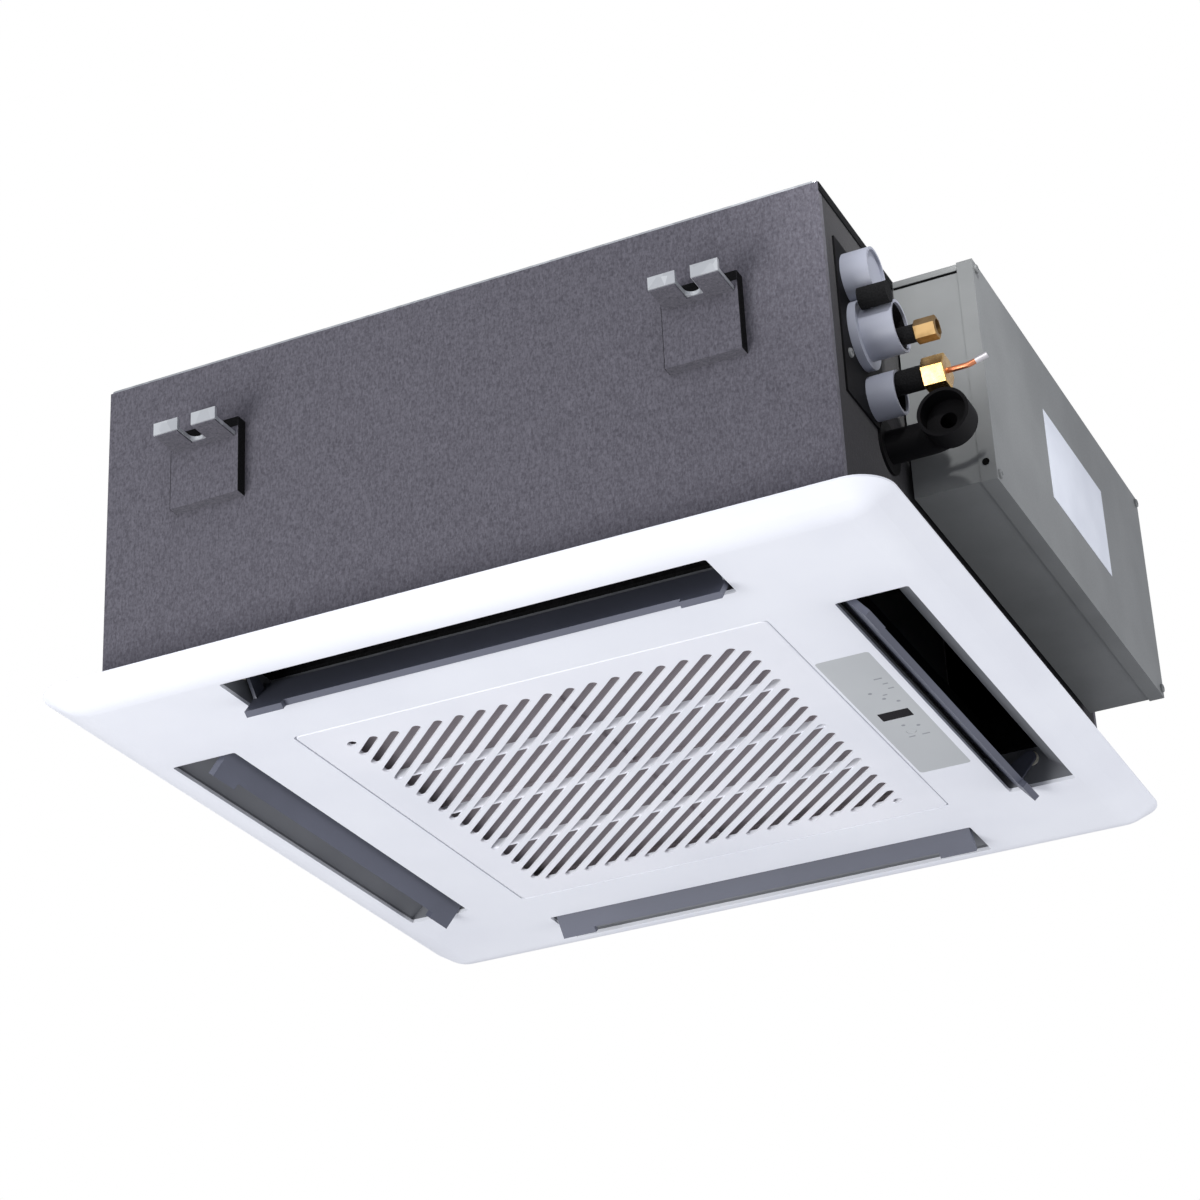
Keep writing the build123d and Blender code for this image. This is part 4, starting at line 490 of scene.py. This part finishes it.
def complete(name, pieces, material, body="cassette"):
    """Joins the pieces, names them, and lets them ride on their body in their finish."""
    whole = join(pieces)
    whole.name = whole.data.name = name
    whole.data.materials.append(material)
    bpy.ops.object.shade_smooth_by_angle(angle=math.radians(35))
    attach(whole, body)
    print(name, "of", len(pieces), "pieces:", len(whole.data.polygons), "faces")
    return whole


print("finishing helpers ready")

# %% [markdown]
# ## Marks on the receiver plate
# In the photograph faint grey marks stand on both sides of the display. They are printed, a tenth of a
# millimetre thick. Plain dots and dashes take the place of the words and symbols. They could be drawn in
# the plate's material, but thin solid pieces keep sharp edges and come along in the export.

# %% Receiver marks
ink_thickness = 0.2        # one half sinks into the plate
dot_radius = 1.5
dash_half_width = 0.8
dot_places = ((207, -39), (213, -26), (221, -17.5), (209, 25), (219, 30))
dash_places = ((221, -60, 3), (223, -50, 2), (224, -41, 2.2), (216, -32, 1.6),
               (208, 47, 2.5), (219, 47, 3))    # x, y and half the length
plate_face = box_mm("receiver_plate")[0].z

marks = [add_disc((x, y, plate_face), dot_radius, ink_thickness, (0, 0, 1)) for x, y in dot_places]
for x, y, half_length in dash_places:
    marks.append(add_block((x - half_length, y - dash_half_width, plate_face - ink_thickness / 2),
                           (x + half_length, y + dash_half_width, plate_face + ink_thickness / 2)))
complete("receiver_marks", marks, icon_ink)

# %% [markdown]
# ## Label on the electrical box
# A pale label sits on the outer face of the box. It stays bare: its words aren't copied. It is a block a
# quarter of a millimetre thick, so that its edge catches a little light, as thick film does.

# %% Label
label_thickness = 0.25
label_front, label_back = -11, 135
label_bottom, label_top = -60, 15
cover_low, cover_high = box_mm("ebox_cover")

label = add_block((cover_high.x, label_front, label_bottom),
                  (cover_high.x + label_thickness, label_back, label_top))
complete("ebox_label", [label], label_film)

# %% [markdown]
# ## Folded lip on the box's front end
# The end wall of the box is folded over along its top: a strip that stands a millimetre proud, with a thin
# black strip below it that paints its shadow. A black rubber plug closes a hole low in the outer corner. The
# fold is a block with rounded edges, because only its outside is seen.

# %% Box lip
fold_left, fold_right = 292.4, cover_low.x - 0.2
fold_bottom, fold_top = cover_high.z - 6.4, cover_high.z - 1.2
shadow_line_height, shadow_line_depth = 1.4, 0.3
plug_radius, plug_length = 2.6, 0.8
plug_place = (346, cover_low.y - 0.2, -100)
tray_end = box_mm("ebox_tray")[0].y

fold = add_block((fold_left, cover_low.y, fold_bottom), (fold_right, tray_end, fold_top), edge=0.3)
complete("ebox_fold", [fold], box_paint)
# A black strip paints the fold's shadow on the end wall; the plug below is real rubber.
shadow_line = add_block((fold_left, tray_end - shadow_line_depth, fold_bottom - shadow_line_height),
                  (fold_right, tray_end, fold_bottom))
plug = add_disc(plug_place, plug_radius, plug_length, (0, -1, 0))
complete("ebox_end_shadow_and_plug", [shadow_line, plug], rubber)

# %% [markdown]
# ## Copies of a pattern
# The four brackets are alike, and so are the screws of a kind. One of each is modelled at the origin as a
# pattern, and copies of it are moved and turned to their places. Every copy has its own mesh, so that it
# can be joined with others.

# %% Helpers for copies
def copy_pattern(pattern, stands):
    """Copies of a pattern at these places, in millimetres, and turns. The pattern itself is deleted."""
    copies = []
    for place, turn in stands:
        use_only(pattern)
        bpy.ops.object.duplicate(linked=False)
        copied = bpy.context.object
        copied.location = metres(place)
        copied.rotation_euler = turn
        copies.append(copied)
    use_only(pattern)
    bpy.ops.object.delete()
    return copies


stud_dims = mounts["hanger_slots"]["dims"]
stud_x, stud_y = stud_dims["spacing_x_mm"] / 2, stud_dims["spacing_y_mm"] / 2
bracket_stands = []
for half_turn in (0, math.pi):
    for bracket_x in (-stud_x, stud_x):
        bracket_stands.append(((bracket_x, 0, 0), (0, 0, half_turn)))
print("brackets stand at", bracket_stands)

# %% [markdown]
# ## Felt under the bracket arms
# Only the turned-up tips of the brackets shine in the photograph. The underside of each arm has the colour
# of the felt: a strip is glued there, open in the middle so that the hanging stud can slide in. Three
# blocks make one pad, of a bracket at the back, and the turned copies serve the front.

# %% Arm pads
pad_thickness = 0.9
raised_face = box_mm("jacket_back")[1].y       # outer face of the felt over the brackets
bracket_high = box_mm("hanger_brackets")[1]
arm_half = bracket_high.x - stud_x - 0.5       # the pad stops short of the arm's edges
gap_half = stud_dims["hole_r_mm"] + 0.75       # and of the edges of the stud's slot
pad_root, pad_tip = raised_face + 0.1, bracket_high.y - 1
gap_root = stud_y - gap_half

web = add_block((-arm_half, pad_root, -pad_thickness), (arm_half, gap_root, 0))
left_finger = add_block((-arm_half, gap_root, -pad_thickness), (-gap_half, pad_tip, 0))
right_finger = add_block((gap_half, gap_root, -pad_thickness), (arm_half, pad_tip, 0))
arm_pads = copy_pattern(join([web, left_finger, right_finger]), bracket_stands)
complete("arm_pads", arm_pads, body_felt)

# %% [markdown]
# ## Painted shade on the raised pads
# The cut sides of the raised felt pads over the brackets lie in shade, and so does the strip above the arm
# where it comes out: thin skins of black foam paint that shade on both. Skins of their own are chosen
# because the felt is one piece in the CAD model, with one finish.

# %% Pad edges
skin_thickness = 0.4
skin_margin = 0.1                              # the skins stop short of the felt's edges
felt_face = box_mm("jacket_back")[1].x         # the body is square, so its back is as far out as its side
raised_half, raised_bottom, raised_top = 28.5, -47, 15
shade_strip_bottom = 7.5

skin_bottom, skin_top = raised_bottom + skin_margin, raised_top - skin_margin
# Thin black skins paint the shade on the pads' cut sides and above the arms.
left_skin = add_block((-raised_half - skin_thickness, felt_face + skin_margin, skin_bottom),
                      (-raised_half, raised_face, skin_top))
right_skin = add_block((raised_half, felt_face + skin_margin, skin_bottom),
                       (raised_half + skin_thickness, raised_face, skin_top))
shade_strip = add_block((-raised_half + skin_margin, raised_face, shade_strip_bottom),
                 (raised_half - skin_margin, raised_face + skin_thickness, skin_top))
pad_shade_skins = copy_pattern(join([left_skin, right_skin, shade_strip]), bracket_stands)
complete("pad_shade_skins", pad_shade_skins, seal_foam)

# %% [markdown]
# ## Black linings of the collars
# The grey collars look black inside, because black foam rubber lines them. A tube could be one cylinder cut
# out of another, but an open cylinder that a Solidify modifier gives its wall needs no second piece.

# %% Pipe linings
def add_tube(root, tip, y, z, radius, wall):
    """A tube along X from root to tip, with its wall inside the radius."""
    bpy.ops.mesh.primitive_cylinder_add(vertices=48, radius=radius / 1000, depth=(tip - root) / 1000,
                                        end_fill_type="NOTHING", location=metres(((root + tip) / 2, y, z)),
                                        rotation=turn_towards((1, 0, 0)))
    tube = bpy.context.object
    shell = tube.modifiers.new("wall", "SOLIDIFY")
    shell.thickness, shell.offset = wall / 1000, -1
    bpy.ops.object.modifier_apply(modifier=shell.name)
    return tube


cover_face = box_mm("pipe_cover_plate")[1].x
liquid_rim = box_mm("pipe_collars")[1].x       # rim of the longest collar
gas_rim = liquid_rim - 10
liquid = Vector(mounts["liquid_connection"]["pos_m"]) * 1000
gas = Vector(mounts["gas_connection"]["pos_m"]) * 1000
liquid_axis, gas_axis = liquid.z + 8.6, gas.z - 7    # heights of the collars' middles
liquid_bore, gas_bore = 17, 14
lining_fit, lining_wall = 0.05, 1
lining_root, lining_inset = cover_face - 0.7, 1.8

linings = [add_tube(lining_root, liquid_rim - lining_inset, liquid.y, liquid_axis, liquid_bore - lining_fit,
                    lining_wall),
           add_tube(lining_root, gas_rim - lining_inset, gas.y, gas_axis, gas_bore - lining_fit,
                    lining_wall)]
print("collars lined as far as", round(liquid_rim, 2), "and", round(gas_rim, 2))

# %% [markdown]
# ### Sleeves and stub
# The same foam covers the bare pipes as far as the nuts, and a black stub of it fills the corner between
# the two upper collars. The sleeves lie on the pipes' axes, which are those of the record's two
# connections.

# %% Pipe sleeves and stub
liquid_sleeve, liquid_sleeve_wall = 6.4, 3.1
gas_sleeve, gas_sleeve_wall = 8.6, 3.7
stub_middle, stub_radius, stub_length = (309.5, -255, -8), 7.8, 21

sleeves = [add_tube(cover_face - 1, box_mm("liquid_nut")[0].x, liquid.y, liquid.z, liquid_sleeve,
                    liquid_sleeve_wall),
           add_tube(cover_face - 0.8, box_mm("gas_nut")[0].x - 0.2, gas.y, gas.z, gas_sleeve,
                    gas_sleeve_wall)]
stub = add_disc(stub_middle, stub_radius, stub_length, (1, 0, 0))
complete("pipe_foam", linings + sleeves + [stub], seal_foam)

# %% [markdown]
# ## Solder and tape
# The charging tail's pinched end is sealed with pale solder: a short bar that follows the tail's slope and
# swallows its end. A strip of black tape closes the felt under the lid on the pipe side.

# %% Solder and tape
tail_end = Vector((372, -215, -53))
tail_run = Vector((14, 0, 4)).normalized()
solder_radius, solder_length, solder_inset = 2.2, 9, 4.2
tape_thickness, tape_width, tape_margin = 0.8, 7.5, 0.1
side_high = box_mm("jacket_right")[1]
tape_end = side_high.x - tape_margin

cap = add_disc(tail_end - solder_inset * tail_run, solder_radius, solder_length, tail_run)
complete("tail_solder", [cap], solder)
tape = add_block((side_high.x, -tape_end, side_high.z - tape_width),
                 (side_high.x + tape_thickness, tape_end, side_high.z - tape_margin), edge=0.3)
complete("edge_tape", [tape], seal_foam)

# %% [markdown]
# ## Cross-head screws
# The frame's screws are plain discs. A real one is a pan head with a cross recess: a short round bar whose
# outer rim is rounded, and two crossed bars cut out of it. A face or an edge is picked by a test on its
# place or its normal, so the pick holds when the sizes change.

# %% Pan head
def choose(piece, kind, wanted):
    """Goes into edit mode with just the edges or faces selected for which the test holds."""
    use_only(piece)
    bpy.ops.object.mode_set(mode="EDIT")
    bpy.ops.mesh.select_mode(type=kind)
    bpy.ops.mesh.select_all(action="DESELECT")
    bpy.ops.object.mode_set(mode="OBJECT")
    for element in (piece.data.edges if kind == "EDGE" else piece.data.polygons):
        element.select = wanted(element)
    bpy.ops.object.mode_set(mode="EDIT")


def faces_up(face):
    """Whether a face looks upwards."""
    return face.normal.z > 0.9


def model_pan_head(radius, height):
    """A pan head that stands on the origin and faces up, with a cross cut 0.45 of its height deep."""
    head = add_disc((0, 0, height / 2), radius, height, (0, 0, 1))
    choose(head, "FACE", faces_up)
    bpy.ops.mesh.bevel(offset=0.3 * radius / 1000, segments=3, affect="EDGES")
    bpy.ops.object.mode_set(mode="OBJECT")
    for half_x, half_y in ((0.6, 0.13), (0.13, 0.6)):
        bpy.ops.mesh.primitive_cube_add(size=2, location=metres((0, 0, height)),
                                        scale=metres((half_x * radius, half_y * radius, 0.45 * height)))
        bar = bpy.context.object
        use_only(head)
        cut = head.modifiers.new("cross", "BOOLEAN")
        cut.object, cut.operation, cut.solver = bar, "DIFFERENCE", "EXACT"
        bpy.ops.object.modifier_apply(modifier=cut.name)
        use_only(bar)
        bpy.ops.object.delete()
    return head


print("a pan head can be made")

# %% [markdown]
# ### Screws of the body
# Two screws hold each bracket's flange, one holds the pipes' cover, and four hold the cover of the
# electrical box. In the photograph they are dull, and hardly stand out from the painted box.

# %% Screws of the body
screw_radius, screw_height = 3.5, 2
flange_face = box_mm("casing_shell")[1].y + 3    # the bracket's sheet is 3 mm thick
flange_screw_gap = 12                            # from the bracket's middle
flange_screw_height = -21.6
cover_screw = (cover_face, -257, -49)
corner_inset = 6

screw_stands = []
for facing in (-1, 1):
    for x in (-stud_x - flange_screw_gap, -stud_x + flange_screw_gap,
              stud_x - flange_screw_gap, stud_x + flange_screw_gap):
        screw_stands.append(((x, facing * flange_face, flange_screw_height), turn_towards((0, facing, 0))))
screw_stands.append((cover_screw, turn_towards((1, 0, 0))))
for y in (cover_low.y + corner_inset, cover_high.y - corner_inset):
    for z in (cover_low.z + corner_inset, cover_high.z - corner_inset):
        screw_stands.append(((cover_high.x, y, z), turn_towards((1, 0, 0))))
heads = copy_pattern(join([model_pan_head(screw_radius, screw_height)]), screw_stands)
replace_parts(complete("casing_screws_cross", heads, box_paint), "casing_screws")

# %% [markdown]
# ### Screws of the panel
# Four longer screws hang the panel on the body. They face down, so the pattern, a head with its shank below
# it, is turned over.

# %% Screws of the panel
panel_head_radius, panel_head_height = 5, 3
shank_radius, shank_overlap = 2.5, 0.4           # the shank reaches a little way into the head
screw_low, screw_high = box_mm("panel_screws")
screw_place = screw_high.x - panel_head_radius
seat_height = screw_low.z + panel_head_height
shank_end = seat_height - screw_high.z           # in the pattern, whose head faces up

shank = add_disc((0, 0, (shank_overlap + shank_end) / 2), shank_radius, shank_overlap - shank_end, (0, 0, 1))
screw = join([model_pan_head(panel_head_radius, panel_head_height), shank])
screw_stands = []
for x in (-screw_place, screw_place):
    for y in (-screw_place, screw_place):
        screw_stands.append(((x, y, seat_height), turn_towards((0, 0, -1))))
screws = copy_pattern(screw, screw_stands)
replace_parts(complete("panel_screws_cross", screws, bright_zinc), "panel_screws")

# %% [markdown]
# ## Pressed lid
# The lid is thin sheet, so beads are pressed into it to keep it from drumming: square steps of under a
# millimetre, one inside the other. They are real steps and not only relief in the zinc, so that the export
# has them too. Each is made by two insets of the top face: a flat one as far as the step, and a narrow one
# that is sunk or raised. The outer corners are rounded last, so that the insets stay square.

# %% Lid
beads = ((30, -0.7), (40, 0.7), (50, -0.7), (40, 0.7))    # width of the flat, then the step down or up
bead_slope = 1.5
corner_radius = 3.9
lid = add_block(*box_mm("top_plate"))


def stands_upright(edge):
    """Whether an edge of the lid joins its underside to its top: the steps are less than a millimetre."""
    heights = [lid.data.vertices[end].co.z * 1000 for end in edge.vertices]
    return abs(heights[0] - heights[1]) > 1


choose(lid, "FACE", faces_up)
for flat, step in beads:
    bpy.ops.mesh.inset(thickness=flat / 1000)
    bpy.ops.mesh.inset(thickness=bead_slope / 1000, depth=step / 1000)
bpy.ops.object.mode_set(mode="OBJECT")
choose(lid, "EDGE", stands_upright)
bpy.ops.mesh.bevel(offset=corner_radius / 1000, segments=5, affect="EDGES")
bpy.ops.object.mode_set(mode="OBJECT")
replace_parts(complete("pressed_lid", [lid], galvanised), "top_plate")

# %% [markdown]
# ## Sheet of the filter
# The filter that shows through the grille's slots is a woven net, far finer than the open squares that
# stand for it in the CAD. A thin sheet with a woven finish takes its place.

# %% Filter sheet
net = add_block(*box_mm("filter_net"), edge=0.2)
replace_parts(complete("woven_filter", [net], filter_weave, "grille"), "filter_net")

# %% [markdown]
# ## Floor
# The unit hangs, so the floor lies far below it, where only a view from above sees it.

# %% Floor
floor_width, floor_height = 14, -3.2             # metres
bpy.ops.mesh.primitive_plane_add(size=floor_width, location=(0, 0, floor_height))
floor = bpy.context.object
floor.name = "studio_floor"
floor_paint, tree, shader, place = start_material("pale_studio_floor", Roughness=0.9)
mottle = add_node(tree, "ShaderNodeTexNoise", {"Scale": lumps(300)}, {"Vector": place})
colour_in_tones(tree, shader, mottle.outputs["Fac"], "#ececec", "#f2f2f2")
floor.data.materials.append(floor_paint)
print("floor at", floor.location.z)

# %% [markdown]
# ## World
# The photograph's white background is the world, painted white for the camera and for clear materials only.
# What lights the object is much dimmer: an even grey world. A light path node tells the two kinds of ray
# apart, so there is no white wall, which would light the unit as well.

# %% World
world_light = 0.5
world = bpy.data.worlds.new("soft_white_studio")
bpy.context.scene.world = world
world.use_nodes = True
tree = world.node_tree
surround = tree.nodes["Background"]
surround.inputs["Color"].default_value = linear("#f4f6ff")
surround.inputs["Strength"].default_value = world_light
backdrop = add_node(tree, "ShaderNodeBackground", {"Color": linear("#ffffff"), "Strength": 1.0})
rays = add_node(tree, "ShaderNodeLightPath")
seen = add_node(tree, "ShaderNodeMath", operation="MAXIMUM",
                links={0: rays.outputs["Is Camera Ray"], 1: rays.outputs["Is Transmission Ray"]})
choice = add_node(tree, "ShaderNodeMixShader", links={0: seen.outputs["Value"], 1: surround.outputs[0],
                                                      2: backdrop.outputs[0]})
tree.links.new(choice.outputs[0], tree.nodes["World Output"].inputs["Surface"])
print("world", world.name, "lights with", world_light)

# %% [markdown]
# ## Lamps
# The light in the photograph is soft. Its tones are met best by one large lamp low on the left of the
# front, with weak ones high in front and on the right.

# %% Lamps
def soft_lamp(name, place, power, width):
    """A square lamp at this place that faces the unit."""
    unit_middle = Vector((0, 0, -0.06))
    turn = (unit_middle - Vector(place)).to_track_quat("-Z", "Y").to_euler()
    bpy.ops.object.light_add(type="AREA", location=place, rotation=turn)
    lamp = bpy.context.object
    lamp.name = name
    lamp.data.energy = power
    lamp.data.size = width


soft_lamp("front_softbox", place=(-1.3, -2.7, -2.0), power=93, width=1.6)
soft_lamp("high_fill", place=(0.1, -3.0, 0.5), power=14, width=1.4)
soft_lamp("right_fill", place=(2.5, 0.7, -0.7), power=28, width=1.6)
print("soft lamps placed")

# %% [markdown]
# ### A narrow lamp
# The pipes and the end of the electrical box lie in the shade of the body, and yet they are bright in the
# photograph. A spot of six degrees from above, as through a snoot, reaches them and little else.

# %% Snooted lamp
snoot_place, snoot_target = Vector((1.05, -1.7, 1.05)), Vector((0.325, -0.18, 0.045))
snoot_turn = (snoot_target - snoot_place).to_track_quat("-Z", "Y").to_euler()
bpy.ops.object.light_add(type="SPOT", location=snoot_place, rotation=snoot_turn)
snoot = bpy.context.object
snoot.name = "snooted_lamp"
snoot.data.energy = 440
snoot.data.spot_size = math.radians(6)
snoot.data.spot_blend = 1.0
snoot.data.shadow_soft_size = 0.1
print("snooted lamp placed")
